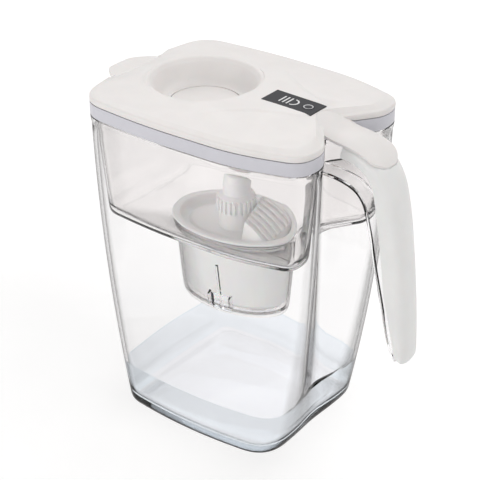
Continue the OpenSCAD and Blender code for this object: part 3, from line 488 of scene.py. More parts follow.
def loft(rings, hoop=False):
    """Vertices and faces of a skin over rings, closed by flat caps or joined end to end."""
    n, m = len(rings[0]), len(rings)
    verts = [tuple(c * MM for c in p) for ring in rings for p in ring]
    faces = []
    for i in range(m if hoop else m - 1):
        for j in range(n):
            k, up = (j + 1) % n, ((i + 1) % m) * n
            faces.append((i * n + j, i * n + k, up + k, up + j))
    if not hoop:
        last = (m - 1) * n
        for j in range(n // 2 - 1):
            k = n - 1 - j
            faces.append((k, k - 1, j + 1, j))
            faces.append((last + j, last + j + 1, last + k - 1, last + k))
    return verts, faces


def curve(guide, steps):
    """Smooth open curve through the middles of a list of guide points."""
    points = [guide[0]]
    for i in range(1, len(guide) - 1):
        a, p, b = guide[i - 1:i + 2]
        for s in range(steps):
            t = s / steps
            points.append(tuple((a[k] + p[k]) / 2 * (1 - t) ** 2 + p[k] * 2 * t * (1 - t)
                                + (p[k] + b[k]) / 2 * t * t for k in (0, 1)))
    return points + [mix(guide[-2], guide[-1], 0.5), guide[-1]]


def tangent(line, i):
    a, b = line[max(i - 1, 0)], line[min(i + 1, len(line) - 1)]
    return unit(b[0] - a[0], b[1] - a[1])


def beside(line, d):
    """The curve moved sideways by d, to the right of its run."""
    moved = []
    for i, (x, z) in enumerate(line):
        t = tangent(line, i)
        moved.append((x + t[1] * d, z - t[0] * d))
    return moved


HANDLE_STEPS = 8
HANDLE_BACK = curve([
    (NOTCH_X + 12, JUG_H + 11.5), (RIM_REAR + 2, JUG_H + 10.5), (RIM_REAR + 20, JUG_H + 6.5),
    (RIM_REAR + 35, JUG_H - 9), (RIM_REAR + 42, JUG_H - 33), (RIM_REAR + 47.7, JUG_H - 72),
    (RIM_REAR + 51.5, JUG_H - 109), (RIM_REAR + 52.9, JUG_H - 135),
    (RIM_REAR + 52.9, JUG_H - 144.5), (RIM_REAR + 51.5, JUG_H - 147.5)], HANDLE_STEPS)
HANDLE_PALM = curve([
    (NOTCH_X + 1, JUG_H - 19.5), (RIM_REAR - 4, JUG_H - 19.5), (RIM_REAR + 14, JUG_H - 26),
    (RIM_REAR + 20.5, JUG_H - 48), (RIM_REAR + 25, JUG_H - 76), (RIM_REAR + 31, JUG_H - 104),
    (RIM_REAR + 35.5, JUG_H - 128), (RIM_REAR + 40, JUG_H - 143),
    (RIM_REAR + 43, JUG_H - 148)], HANDLE_STEPS)
PALM_OUT = beside(HANDLE_PALM, -FLANGE_T)


# ---- meshes -------------------------------------------------------------------------------------
SHARP_DEGREES = 35


def add_mesh(name, shell):
    """A new object from the vertices and faces of a shell."""
    verts, faces = shell
    mesh = bpy.data.meshes.new(name)
    mesh.from_pydata(verts, [], faces)
    edit = bmesh.new()
    edit.from_mesh(mesh)
    bmesh.ops.recalc_face_normals(edit, faces=edit.faces)
    edit.to_mesh(mesh)
    edit.free()
    obj = bpy.data.objects.new(name, mesh)
    bpy.context.collection.objects.link(obj)
    return obj


def combine(obj, other, operation):
    """Unites obj with other or cuts other from it, and takes other away."""
    change = obj.modifiers.new("combine", "BOOLEAN")
    change.operation = operation
    change.solver = "MANIFOLD"
    change.object = other
    with_view = bpy.context.evaluated_depsgraph_get()
    mesh = bpy.data.meshes.new_from_object(obj.evaluated_get(with_view))
    obj.modifiers.clear()
    old = obj.data
    obj.data = mesh
    bpy.data.meshes.remove(old)
    bpy.data.meshes.remove(other.data)
    return obj


def smooth(obj):
    """Smooth shading that keeps the sharp edges."""
    for face in obj.data.polygons:
        face.use_smooth = True
    obj.data.set_sharp_from_angle(angle=math.radians(SHARP_DEGREES))


BLOCK_FACES = [(3, 2, 1, 0), (4, 5, 6, 7), (0, 1, 5, 4), (1, 2, 6, 5), (2, 3, 7, 6), (3, 0, 4, 7)]


def block(name, low, high):
    """A plain box between two corners, to cut with or to add."""
    x0, y0, z0 = (c * MM for c in low)
    x1, y1, z1 = (c * MM for c in high)
    verts = [(x, y, z) for z in (z0, z1) for x, y in ((x0, y0), (x1, y0), (x1, y1), (x0, y1))]
    return add_mesh(name, (verts, BLOCK_FACES))


# ---- jug ----------------------------------------------------------------------------------------
BEAK_T = 1.8
BEAK_HALF_W = POUR_FLAP_HALF_W - 2.5
BEAK_SIDE_TOP = COLLAR_TOP - 3.6
WEB_STEPS = 60


def jug_vessel():
    """Walls and floor. The recess underneath is shallow: its edge would show through the water."""
    wall_z = [6, 9, 14, 20] + list(range(30, 230, 9))
    outside = LIP_PROUD
    inside = JUG_WALL + LIP_PROUD
    recess = jug_rings((0.5, 14), (0, 9.5))
    foot = between(jug_rings((0, 5.5), (0.9, 2.6), (3.2, 1.1), (wall_z[0], outside)), 4)
    outer = jug_rings(*((z, outside) for z in wall_z[1:]))
    lip = jug_rings((JUG_H - LIP_H - 1, outside), (JUG_H - LIP_H, 0.05), (JUG_H - 0.5, 0),
                    (JUG_H, 0.5), (JUG_H, JUG_WALL - 0.4), (JUG_H - LIP_H, JUG_WALL))
    inner = jug_rings(*((z, inside) for z in reversed(wall_z[3:])))
    corner = between(jug_rings((wall_z[2], inside), (JUG_FLOOR + 5, JUG_WALL + 2),
                               (JUG_FLOOR + 2, JUG_WALL + 6),
                               (JUG_FLOOR + 1.4, JUG_WALL + 12)), 4)
    return loft(recess + foot + outer + lip + inner + corner)


def jug_beak():
    """The open beak before the front wall, as one channel section that narrows to its tip."""
    stations = [(-RIM_FRONT + 7.5, BEAK_HALF_W, 1.2, 0.4),
                (-RIM_FRONT - 1, BEAK_HALF_W - 4, 1.6, 1.2),
                (-RIM_FRONT - 8, BEAK_HALF_W - 9.5, 3.6, 2.8)]
    rings = []
    for x, w, side, floor in stations:
        right = [(w, BEAK_SIDE_TOP), (w, JUG_H + side + 1), (w - 3, JUG_H + floor - 1)]
        inside = [(w - BEAK_T, BEAK_SIDE_TOP), (w - BEAK_T, JUG_H + side + 1.4),
                  (w - 4, JUG_H + floor + 0.8)]
        section = [(-y, z) for y, z in right] + right[::-1] + inside
        section += [(-y, z) for y, z in reversed(inside)]
        rings.append([(x, y, z) for y, z in section])
    return loft(between(rings, 4))


def flange_half_w(z):
    """Half width of the clear flange at a height: it stays inside the shell."""
    top, tip = HANDLE_HALF_W - 3.5, HANDLE_TIP_HALF_W - SHELL_T - 0.4
    return mix(top, tip, min(max((JUG_H - 40 - z) / 110, 0), 1))


def handle_flange():
    """The clear flange on the palm side, its long edges rounded."""
    edge = 0.7
    rings = []
    for i, (x, z) in enumerate(HANDLE_PALM):
        t = tangent(HANDLE_PALM, i)
        out = (-t[1], t[0])
        w = flange_half_w(z)
        section = [(0, w - edge), (edge, w), (FLANGE_T - edge, w), (FLANGE_T, w - edge)]
        section += [(d, -y) for d, y in reversed(section)]
        rings.append([(x + out[0] * d, y, z + out[1] * d) for d, y in section])
    return loft(rings)


def handle_web():
    """The clear web between the flange and the shell, from the jug's notch to the open end."""
    back = beside(HANDLE_BACK, SHELL_T + 2.6)
    palm = HANDLE_PALM
    first, last = 2, len(back) - 2 - HANDLE_STEPS
    rings = []
    for k in range(WEB_STEPS + 1):
        i = first + (last - first) * k / WEB_STEPS
        j = (len(palm) - 2 - HANDLE_STEPS) * k / WEB_STEPS
        a = mix(palm[int(j)], palm[min(int(j) + 1, len(palm) - 1)], j % 1)
        b = mix(back[int(i)], back[min(int(i) + 1, len(back) - 1)], i % 1)
        if k == 0:
            a, b = (NOTCH_X - 1, JUG_H - 19), (NOTCH_X - 1, JUG_H - 1)
        a = mix(a, b, 0.02)
        rings.append([(a[0], -WEB_T / 2, a[1]), (b[0], -WEB_T / 2, b[1]),
                      (b[0], WEB_T / 2, b[1]), (a[0], WEB_T / 2, a[1])])
    return loft(rings)


def make_jug():
    """Vessel, handle and beak in one. The handle stops inside the vessel's wall."""
    jug = add_mesh("clear_jug", jug_vessel())
    spine = add_mesh("spine", handle_flange())
    combine(spine, add_mesh("web", handle_web()), "UNION")
    core = add_mesh("core", loft([jug_ring(z, JUG_WALL * 0.6)
                                  for z in (JUG_H - 90, JUG_H - 35, JUG_H + 20)]))
    combine(spine, core, "DIFFERENCE")
    combine(jug, spine, "UNION")
    combine(jug, add_mesh("beak", jug_beak()), "UNION")
    return jug


# ---- handle shell -------------------------------------------------------------------------------
SHELL_FIRST = 4
SHELL_DEPTH_TOP, SHELL_DEPTH = 11.3, 15.0
SHELL_CROWN_TOP, SHELL_CROWN = 8.5, 3.4
SHELL_ROUND = 0.85
SHELL_TIP = {len(HANDLE_BACK) - 2: 0.94, len(HANDLE_BACK) - 1: 0.84}


def shell_depth(i):
    """Depth of the shell's sides: they end before they meet the flange."""
    z = HANDLE_BACK[i][1] - HANDLE_BACK[-1][1]
    k = i / (len(HANDLE_BACK) - 1) * 26
    x, y = HANDLE_BACK[i]
    return min(mix(SHELL_DEPTH_TOP, SHELL_DEPTH, ease((k - 5) / 8)), 7 + z * 0.15,
               min(math.dist((x, y), q) for q in PALM_OUT) - 0.4)


def shell_ring(i):
    """The shell's open section at one point of the handle's back: outside, then inside."""
    k = i / (len(HANDLE_BACK) - 1)
    t = tangent(HANDLE_BACK, i)
    inward = (t[1], -t[0])
    x0, z0 = HANDLE_BACK[i]
    depth = shell_depth(i)
    crown = min(mix(SHELL_CROWN_TOP, SHELL_CROWN, ease((k - 0.5) * 2)), depth - 1)
    closing = i > len(HANDLE_BACK) - 2 - HANDLE_STEPS // 2
    skin = depth - 0.6 if closing else SHELL_T
    half_w = mix(HANDLE_HALF_W, HANDLE_TIP_HALF_W, min(1, k * 1.1)) * SHELL_TIP.get(i, 1)
    angles = [math.radians(a) for a in range(90, -91, -9)]
    ring = []
    for side, low, hem in ((1, 0, False), (-1, skin, True)):
        w = half_w if side == 1 else half_w - SHELL_T
        line = [(depth, w)]
        line += [(low + max(crown - low, 0) * (1 - abs(math.cos(a)) ** SHELL_ROUND),
                  math.copysign(abs(math.sin(a)) ** SHELL_ROUND, a) * w) for a in angles]
        line += [(depth, -w)]
        if hem:
            line = [(max(d, min(skin, depth)), y) for d, y in line]
        ring += [(x0 + inward[0] * d, -y, z0 + inward[1] * d) for d, y in line[::side]]
    return ring


# ---- hopper -------------------------------------------------------------------------------------
OUTLET_INSET = 6.5
CATCH_X = CART_X + 8
CATCH_W = 16
CATCH_H = 13
ARM_H = 41


def well_half_w(x, z):
    """Half width of the well's outside at a place along it and a height."""
    rise = (z - WELL_LOW_Z - 2.4) / (WELL_Z - WELL_LOW_Z - 5)
    return mix(WELL_LOW_B, WELL_B, rise) * math.sqrt(1 - ((x - CART_X) / WELL_LOW_A) ** 2)


def wall_rib(x, t, low, high, proud, side):
    """An upright rib that grows out of the well's wall, on the -Y or the +Y side."""
    top = high - proud
    line = [(well_half_w(x, low) - 1, low), (well_half_w(x, low) + proud, low),
            (well_half_w(x, top) + proud, top), (well_half_w(x, high) - 1, high)]
    verts = [(px * MM, side * y * MM, z * MM) for px in (x - t / 2, x + t / 2) for y, z in line]
    return add_mesh("rib", (verts, BLOCK_FACES))


def hopper_skin():
    """The trough and its oval well, outside from the outlet up and inside down again."""
    w = HOPPER_WALL
    walls = [(HOPPER_Z + 21, 6.4), (HOPPER_Z + 32, 5.9), (HOPPER_Z + 43, 5.3),
             (HOPPER_Z + 54, 4.7), (HOPPER_Z + 65, 4.3), (JUG_H - 2, 3.9)]
    rings = oval_rings(WELL_LOW_A, WELL_LOW_B, (-OUTLET_INSET, WELL_LOW_Z))
    rings += between(oval_rings(WELL_LOW_A, WELL_LOW_B, (-1.6, WELL_LOW_Z), (0, WELL_LOW_Z + 2.4))
                     + oval_rings(WELL_A, WELL_B, (0, WELL_Z - 2.6)), 6)
    rings += oval_rings(WELL_A, WELL_B, (2, WELL_Z - 2))
    rings += between(hopper_rings((HOPPER_Z, 15), (HOPPER_Z + 0.6, 10.5), (HOPPER_Z + 3.6, 7.6),
                                  (HOPPER_Z + 10, 6.9)), 4)
    rings += hopper_rings(*walls)
    rings += hopper_rings((COLLAR_TOP - 1.4, 3.4), (COLLAR_TOP - 1.4, 1.6), (COLLAR_TOP, 1.6),
                          (COLLAR_TOP, HOPPER_TOP_INSET + w))
    rings += hopper_rings(*((z, inset + w) for z, inset in reversed(walls)))
    rings += between(hopper_rings((HOPPER_Z + 10, 6.9 + w), (HOPPER_Z + 5, 8.6 + w),
                                  (HOPPER_Z + 2.6, 11.5 + w), (HOPPER_Z + 2, 15 + w)), 4)
    rings += oval_rings(WELL_A, WELL_B, (3.5, WELL_Z), (-0.6, WELL_Z))
    rings += between(oval_rings(WELL_A, WELL_B, (-w, WELL_Z - 3))
                     + oval_rings(WELL_LOW_A, WELL_LOW_B, (-w, WELL_LOW_Z + 3.2),
                                  (-3, WELL_LOW_Z + w)), 6)
    rings += oval_rings(WELL_LOW_A, WELL_LOW_B, (-OUTLET_INSET, WELL_LOW_Z + w))
    return loft(rings, hoop=True)


def make_hopper():
    """The hopper with a sprung catch between two ribs on each long side of its well."""
    hopper = add_mesh("clear_hopper", hopper_skin())
    for side in (-1, 1):
        y = side * (WELL_LOW_B + 5)
        notch = block("notch", (CATCH_X - CATCH_W / 2, y - 8, WELL_LOW_Z - 1),
                      (CATCH_X + CATCH_W / 2, y + 8, WELL_LOW_Z + CATCH_H))
        combine(hopper, notch, "DIFFERENCE")
        combine(hopper, wall_rib(CATCH_X, 1.8, WELL_LOW_Z + 1, WELL_LOW_Z + ARM_H, 1.2, side),
                "UNION")
        for end in (-1, 1):
            x = CATCH_X + end * (CATCH_W / 2 + 0.6)
            combine(hopper, wall_rib(x, 1.6, WELL_LOW_Z + 3, WELL_LOW_Z + CATCH_H + 3, 3, side),
                    "UNION")
    return hopper


# ---- cartridge cover ----------------------------------------------------------------------------
COVER_BASE_Z = WELL_Z - 5.4
COVER_LIP_H = 3.1
PAN_Z = COVER_BASE_Z + 1.6
FLANGE_Z = WELL_Z + 1.2
COVER_TOP = FLANGE_Z + 1.6
PLUG_A, PLUG_B = WELL_A - HOPPER_WALL - 0.9, WELL_B - HOPPER_WALL - 0.9
CUP_WALL = 1.7
PAN_A, PAN_B = PLUG_A - CUP_WALL, PLUG_B - CUP_WALL
PEDESTAL_R = 12.4
PEDESTAL_TOP = COVER_TOP + 9
HOOD_RIBS = 7
HOOD_RIB_FOOT, HOOD_RIB_CREST = 0.27, 0.21      # half widths, as shares of the ribs' spacing
HOOD_GROOVE = 1.9
HOOD_STEPS = 12
HOOD_OPEN_FROM, HOOD_OPEN_TO = 0.06, 0.92       # the grooves' run down the slope
HOOD_HALF_W = 14.0
HOOD_CHEEK_NEAR, HOOD_CHEEK_FAR = 5.0, 2.0
HOOD_SUNK = 0.4
# the slope's guide points at the -Y and the +Y side: past the cartridge's middle, above the pan
HOOD_NEAR = [(19, 14.8), (25.5, 11.8), (33, 7.3), (38, 1.2)]
HOOD_FAR = [(PEDESTAL_R, 21.4), (23, 20.4), (32, 15.8), (38, 8.4)]


def hood_point(k, t):
    """Point (x, z) of the hood's top: k goes from its -Y side to its +Y side, t down its slope."""
    a, b, c, d = (mix(p, q, k) for p, q in zip(HOOD_NEAR, HOOD_FAR))
    x, z = (a[i] * (1 - t) ** 3 + 3 * b[i] * t * (1 - t) ** 2 + 3 * c[i] * t * t * (1 - t)
            + d[i] * t ** 3 for i in (0, 1))
    return CART_X + x, PAN_Z + z


def vent_hood():
    """The hood beside the knob: ribs with grooves between them, sloping down to the pan's edge."""
    foot, crest = HOOD_RIB_FOOT / (HOOD_RIBS - 1), HOOD_RIB_CREST / (HOOD_RIBS - 1)
    across = []
    for i in range(HOOD_RIBS):
        k = i / (HOOD_RIBS - 1)
        across += [(k - foot, HOOD_GROOVE), (k - crest, 0), (k + crest, 0), (k + foot, HOOD_GROOVE)]
    across = across[1:-1]
    rings = []
    for step in range(HOOD_STEPS + 1):
        t = step / HOOD_STEPS
        grooved = HOOD_OPEN_FROM <= t <= HOOD_OPEN_TO
        top = []
        for k, drop in across:
            x, z = hood_point(min(max(k, 0), 1), t)
            top.append((x, mix(-HOOD_HALF_W, HOOD_HALF_W, k), z - drop * grooved))
        near, far = top[0], top[-1]
        rings.append([(near[0], near[1] - HOOD_CHEEK_NEAR, PAN_Z - HOOD_SUNK)] + top
                     + [(far[0], far[1] + HOOD_CHEEK_FAR, PAN_Z - HOOD_SUNK)])
    return loft(rings)


def cover_skin():
    """The cover's lip, plug, flange and sunk pan, from underneath round to the top."""
    rings = oval_rings(PAN_A, PAN_B, (-14, COVER_BASE_Z), (-2.2, COVER_BASE_Z),
                       (-2.2, COVER_BASE_Z - COVER_LIP_H), (-0.7, COVER_BASE_Z - COVER_LIP_H),
                       (-0.7, COVER_BASE_Z))
    rings += oval_rings(PLUG_A, PLUG_B, (0, COVER_BASE_Z), (0, FLANGE_Z))
    rings += oval_rings(WELL_A, WELL_B, (1.2, FLANGE_Z))
    rings += between(oval_rings(WELL_A, WELL_B, (1.6, FLANGE_Z + 0.4), (1.6, COVER_TOP - 0.5),
                                (1, COVER_TOP)), 3)
    rings += between(oval_rings(PLUG_A, PLUG_B, (-0.6, COVER_TOP))
                     + oval_rings(PAN_A, PAN_B, (0, COVER_TOP - 0.7), (-0.6, PAN_Z + 1.6),
                                  (-2.4, PAN_Z)), 4)
    rings += oval_rings(PAN_A, PAN_B, (-6.6, PAN_Z), (-7.8, PAN_Z + 1.2), (-9.2, PAN_Z + 1.6),
                        (-12, PAN_Z + 1.6))
    return loft(rings)


def cover_pedestal():
    around = [math.radians(a) for a in range(0, 360, 6)]
    steps = [(PEDESTAL_R + 1.2, PAN_Z + 1), (PEDESTAL_R, PAN_Z + 3), (PEDESTAL_R, PEDESTAL_TOP)]
    return loft([[(CART_X + r * math.cos(a), r * math.sin(a), z) for a in around]
                 for r, z in steps])


def make_cover():
    """The cartridge's cover, with the pedestal under the knob and the vent hood."""
    cover = add_mesh("filter_cover", cover_skin())
    combine(cover, add_mesh("pedestal", cover_pedestal()), "UNION")
    return combine(cover, add_mesh("hood", vent_hood()), "UNION")


# ---- collar -------------------------------------------------------------------------------------
GATE_BACK_X = -RIM_FRONT * 0.7 - 20


def make_collar():
    """The band between jug and lid, with a gate for the pour flap in front."""
    low = JUG_H + SEAT_GAP
    rings = hopper_rings((low, HOPPER_TOP_INSET))
    rings += jug_rings((low, 0.3), (low + 0.6, 0), (COLLAR_TOP - 0.2, 0), (COLLAR_TOP - 0.2, 1.1),
                       (COLLAR_TOP - 1.5, 1.3))
    rings += hopper_rings((COLLAR_TOP - 1.5, HOPPER_TOP_INSET))
    collar = add_mesh("collar_band", loft(rings, hoop=True))
    gate = block("gate", (-RIM_FRONT - 20, -GATE_HALF_W, JUG_H - 5),
                 (GATE_BACK_X, GATE_HALF_W, COLLAR_TOP + 5))
    return combine(collar, gate, "DIFFERENCE")


# ---- lid ----------------------------------------------------------------------------------------
DIP_H = 3.6
LID_EDGE_INSET = 3.4
FILL_RIM_W = 2.5
CREASE_W = 4.0          # the crease is rounded over this width, where the solid's is sharp
CREASE_SUNK = 0.4       # how far the tongue's edge lies under the lid's skin


def front_dip(x, y):
    """How far the lid's front edge sinks towards the pour flap."""
    return (DIP_H * ease((-x - RIM_FRONT + 26) / 22)
            * ease((POUR_FLAP_HALF_W + 12 - abs(y)) / 11))


def lid_height(x, y):
    """Height of the lid's gently crowned top."""
    across = 1 - min(abs(y) / (RIM_HALF_W + 1), 1) ** 2.4
    return LID_TOP + LID_CROWN * (1 - ((x - 15) / 116) ** 2) * across - front_dip(x, y)


def edge_ring(share, inset):
    """A ring of the lid's outer edge, a share of the way up."""
    return [(x, y, mix(LID_Z, LID_TOP - front_dip(x, y), share))
            for x, y, _ in jug_ring(LID_TOP, inset)]


def skin_ring(k, drop):
    """A ring of the lid's top, between its outer edge (k = 0) and the fill well (k = 1)."""
    edge = plan_ring(BASE_PLAN, RIM_PLAN, JUG_H, LID_EDGE_INSET)
    core = round_ring(FILL_R + FILL_RIM_W, 0)
    ring = []
    for a, b in zip(edge, core):
        x, y = mix(a, b[:2], k)
        ring.append((x, y, lid_height(x, y) - drop))
    return ring


SKIRT_INSET = HOPPER_TOP_INSET + HOPPER_WALL + 0.6
SKIRT_LOW_Z = LID_Z - 5.6
POUR_HINGE_X = -RIM_FRONT + 7
POUR_BARREL_R = POUR_PIN_R + 1
POUR_LUG_Y = POUR_FLAP_HALF_W + FLAP_GAP
FILL_HINGE_X = FILL_X - FILL_FLOOR_R - 4.2
FILL_RIM_Z = lid_height(FILL_X, 0) - 0.5
FILL_FLOOR_Z = LID_TOP - FILL_DEPTH
FILL_KNUCKLE_R = FILL_PIN_R + 1.5
FILL_HINGE_Z = FILL_FLOOR_Z - LID_FLOOR_T - FILL_KNUCKLE_R - 0.4
SPRING_L = SPRING_TURNS * (2 * SPRING_WIRE_R + SPRING_TURN_GAP)
FILL_LUG_Y = FILL_KNUCKLE_Y + SPRING_L + 2 * SPRING_WIRE_R + 2 * SPRING_SIDE_GAP
WINDOW_Z = lid_height(WINDOW_X, 0) + CREASE_H - 0.15
TONGUE_LINE = [
    (-12, RIM_HALF_W - 16), (4, RIM_HALF_W - 28), (18, RIM_HALF_W - 38.5),
    (33, RIM_HALF_W - 47.5), (48, TONGUE_HALF_W + 4.5), (62, TONGUE_HALF_W + 1.2),
    (RIM_REAR - 18, TONGUE_HALF_W + 0.4), (RIM_REAR - 9, TONGUE_HALF_W),
    (RIM_REAR, TONGUE_HALF_W), (RIM_REAR + 9, TONGUE_HALF_W), (RIM_REAR + 17, TONGUE_HALF_W),
    (RIM_REAR + 22, TONGUE_HALF_W - 0.8), (RIM_REAR + 26, TONGUE_HALF_W - 4),
    (RIM_REAR + 28.6, TONGUE_HALF_W - 8.5), (TONGUE_TIP_X, 4)]


def back_height(x):
    """Height of the handle's back at x."""
    for a, b in zip(HANDLE_BACK, HANDLE_BACK[1:]):
        if a[0] < x <= b[0]:
            return mix(a[1], b[1], (x - a[0]) / (b[0] - a[0]))
    return HANDLE_BACK[0][1]


def tongue_top(x, y, w):
    """Height of the tongue: it leaves the lid with a crease and ends flush over the handle."""
    rise = (CREASE_H + CREASE_SUNK) * ease((w - abs(y)) / CREASE_W) - CREASE_SUNK
    on_lid = lid_height(x, min(abs(y), w)) + rise * ease((x + 12) / 40)
    over = back_height(max(x, NOTCH_X + 13)) + 0.6 - 2.6 * (abs(y) / HANDLE_HALF_W) ** 2.6
    return mix(on_lid, over, ease((x - 56) / 32))


def hopper_edge(inset, z):
    """A level ring with the plan of the hopper's rim."""
    return lift(plan_ring(BASE_PLAN_HOPPER, RIM_PLAN_HOPPER, JUG_H, inset), z)


def lid_skin():
    """The lid from its skirt over the edge, the top and the fill well, and back underneath."""
    skin_shares = [i / 26 for i in range(1, 25)]
    rings = [hopper_edge(SKIRT_INSET + 2, SKIRT_LOW_Z), hopper_edge(SKIRT_INSET, SKIRT_LOW_Z),
             hopper_edge(SKIRT_INSET, LID_Z)]
    rings += between([edge_ring(0, 0.8), edge_ring(0.11, 0), edge_ring(0.69, 0),
                      edge_ring(0.9, 0.8), edge_ring(1, 2.6)], 3)
    rings += [skin_ring(k, 0) for k in skin_shares]
    rings += between(round_rings(
        (FILL_R + 1.6, FILL_RIM_Z + 0.1), (FILL_R, FILL_RIM_Z - 0.5),
        (FILL_R - 1.4, FILL_RIM_Z - 2), (FILL_R - 3, FILL_RIM_Z - 4.2),
        (FILL_FLOOR_R + 6.5, FILL_FLOOR_Z + 4.6), (FILL_FLOOR_R + 3.4, FILL_FLOOR_Z + 1.2),
        (FILL_FLOOR_R + 1.2, FILL_FLOOR_Z)), 4)
    rings += round_rings(
        (FILL_FLOOR_R, FILL_FLOOR_Z), (FILL_FLOOR_R, FILL_FLOOR_Z - LID_FLOOR_T),
        (FILL_FLOOR_R + 4, FILL_FLOOR_Z - LID_FLOOR_T), (FILL_FLOOR_R + 8, FILL_FLOOR_Z + 1.6),
        (FILL_R - 1.2, FILL_RIM_Z - 7), (FILL_R + 1.2, FILL_RIM_Z - 3))
    rings += [skin_ring(k, LID_T) for k in (0.88, 0.65, 0.4, 0.2)]
    rings += [hopper_edge(SKIRT_INSET + 2, LID_TOP - LID_T)]
    return loft(rings, hoop=True)


def tongue_stations():
    """The tongue's half widths, on a smooth curve through its line."""
    dense = between([[(x, w, 0)] for x, w in TONGUE_LINE], 6)
    return [(ring[0][0], ring[0][1]) for ring in dense]


# places across the tongue, as shares of its half width, closer together towards its edges
TONGUE_SHARES = [math.sin(math.radians(a)) for a in range(-90, 91, 9)]
TONGUE_GAP = 0.35


def lid_tongue():
    rings = []
    for x, w in tongue_stations():
        top = [(x, s * w, tongue_top(x, s * w, w) - (0.5 if abs(s) == 1 else 0))
               for s in TONGUE_SHARES]
        low = [(x, s * w * 0.98, tongue_top(x, s * w, w) - TONGUE_T)
               for s in reversed(TONGUE_SHARES)]
        rings.append(top + low)
    return loft(rings)


def tongue_room():
    """The space that the tongue takes out of the handle's shell."""
    gap = TONGUE_GAP
    over = [(x, w) for x, w in tongue_stations() if x > NOTCH_X + 8]
    rings = []
    for i, (x, w) in enumerate(over + [over[-1]]):
        past = gap if i == len(over) else 0
        top = [(x + past, s * (w + gap), JUG_H + 40) for s in TONGUE_SHARES]
        low = [(x + past, s * (w + gap), tongue_top(x, s * w, w) - TONGUE_T - gap)
               for s in reversed(TONGUE_SHARES)]
        rings.append(top + low)
    return loft(rings)


def make_handle_shell():
    shell = add_mesh("white_handle", loft([shell_ring(i)
                                           for i in range(SHELL_FIRST, len(HANDLE_BACK))]))
    return combine(shell, add_mesh("tongue_room", tongue_room()), "DIFFERENCE")


def at_window(x, y, z):
    """A point of the timer's own frame, on the lid's raised middle."""
    tilt = math.radians(WINDOW_TILT)
    return (WINDOW_X + x * math.cos(tilt) + z * math.sin(tilt), y,
            WINDOW_Z - x * math.sin(tilt) + z * math.cos(tilt))


def window_block(name, length, width, low, high):
    """A box in the timer's own frame, a little wider all round, to cut with."""
    a, b = length / 2 + WINDOW_GAP, width / 2 + WINDOW_GAP
    verts = [tuple(c * MM for c in at_window(x, y, z)) for z in (high, low)
             for x, y in ((-a, -b), (a, -b), (a, b), (-a, b))]
    return add_mesh(name, (verts, BLOCK_FACES))


def make_lid():
    """The lid with its tongue, the lugs of both flaps and the timer's pocket."""
    tongue = add_mesh("tongue", lid_tongue())
    well = loft(round_rings((FILL_R + 2.4, FILL_FLOOR_Z), (FILL_R + 2.4, LID_TOP + 30)))
    combine(tongue, add_mesh("well", well), "DIFFERENCE")
    lid = add_mesh("white_lid", lid_skin())
    combine(lid, tongue, "UNION")
    for side in (-1, 1):
        y = side * (POUR_LUG_Y + 2)
        cheek = block("cheek", (POUR_HINGE_X - 2.4, y - 2, LID_Z - 4.6),
                      (POUR_HINGE_X + 3.4, y + 2, LID_Z + 0.3))
        combine(lid, cheek, "UNION")
        y = side * (FILL_LUG_Y + 1.3)
        ear = block("ear", (FILL_HINGE_X - 2.6, y - 1, FILL_HINGE_Z - 2.4),
                    (FILL_HINGE_X + 2.6, y + 1, FILL_FLOOR_Z + 3.6))
        combine(lid, ear, "UNION")
    pocket = window_block("pocket", WINDOW_L, WINDOW_W, -WINDOW_T - WINDOW_GAP, 10)
    combine(lid, pocket, "DIFFERENCE")
    combine(lid, window_block("case_hole", WINDOW_L - 3, WINDOW_W - 1.6, -10, 2), "DIFFERENCE")
    flap_room = block("flap_room", (-RIM_FRONT - 20, -POUR_LUG_Y, LID_Z - 8),
                      (POUR_HINGE_X + POUR_BARREL_R + 0.5, POUR_LUG_Y, LID_Z + 22))
    return combine(lid, flap_room, "DIFFERENCE")


# ---- water --------------------------------------------------------------------------------------
WATER_Z = 35.0
WATER_OVERLAP = 0.15
WATER_COLOR = (0.84, 0.90, 0.95)
# painted shade where the water is seen edge on
WATER_EDGE_SHADE = (0.5, 0.56, 0.62)
WATER_TOP_REFLECTION = (0.96, 0.97, 1.0)
WATER_IOR = 1.08        # low, so that the jug's floor stays in view through the sides
LEVEL_NORMAL = 0.95


def water_material():
    """Water whose level surface is painted lighter than its sides, a painted reflection of the
    bright room.
    """
    mat = clear("water_clear", WATER_COLOR, WATER_EDGE_SHADE, roughness=0.0, ior=WATER_IOR)
    nodes, links = mat.node_tree.nodes, mat.node_tree.links
    place = nodes.new("ShaderNodeNewGeometry")
    split = nodes.new("ShaderNodeSeparateXYZ")
    links.new(place.outputs["Normal"], split.inputs[0])
    # painted reflection: faces that point up get the lighter colour
    level = math_node(nodes, links, "GREATER_THAN", split.outputs["Z"], LEVEL_NORMAL)
    recolor(mat, level, WATER_TOP_REFLECTION)
    return mat


def make_water():
    """The water in the jug, which isn't a piece of it. It reaches a little into the wall."""
    over = WATER_OVERLAP
    wall = JUG_WALL + LIP_PROUD - over
    corner = jug_rings((JUG_FLOOR + 1.4 - over, JUG_WALL + 12),
                       (JUG_FLOOR + 2 - over, JUG_WALL + 6),
                       (JUG_FLOOR + 5, JUG_WALL + 2 - over), (14, wall))
    sides = jug_rings((20, wall), (27, wall), (WATER_Z - 0.8, wall), (WATER_Z, wall))
    meniscus = jug_rings((WATER_Z - 0.5, JUG_WALL + 1.3), (WATER_Z - 0.8, JUG_WALL + 2.6))
    return add_mesh("water", loft(between(corner, 4) + sides + meniscus))


# ---- refined pieces in place of the faceted solids ----------------------------------------------
def stand_in(obj, body, node, slot):
    """Puts a refined piece on its body, in place of the node."""
    smooth(obj)
    dress(obj, material(slot))
    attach(obj, body)
    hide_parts(node)


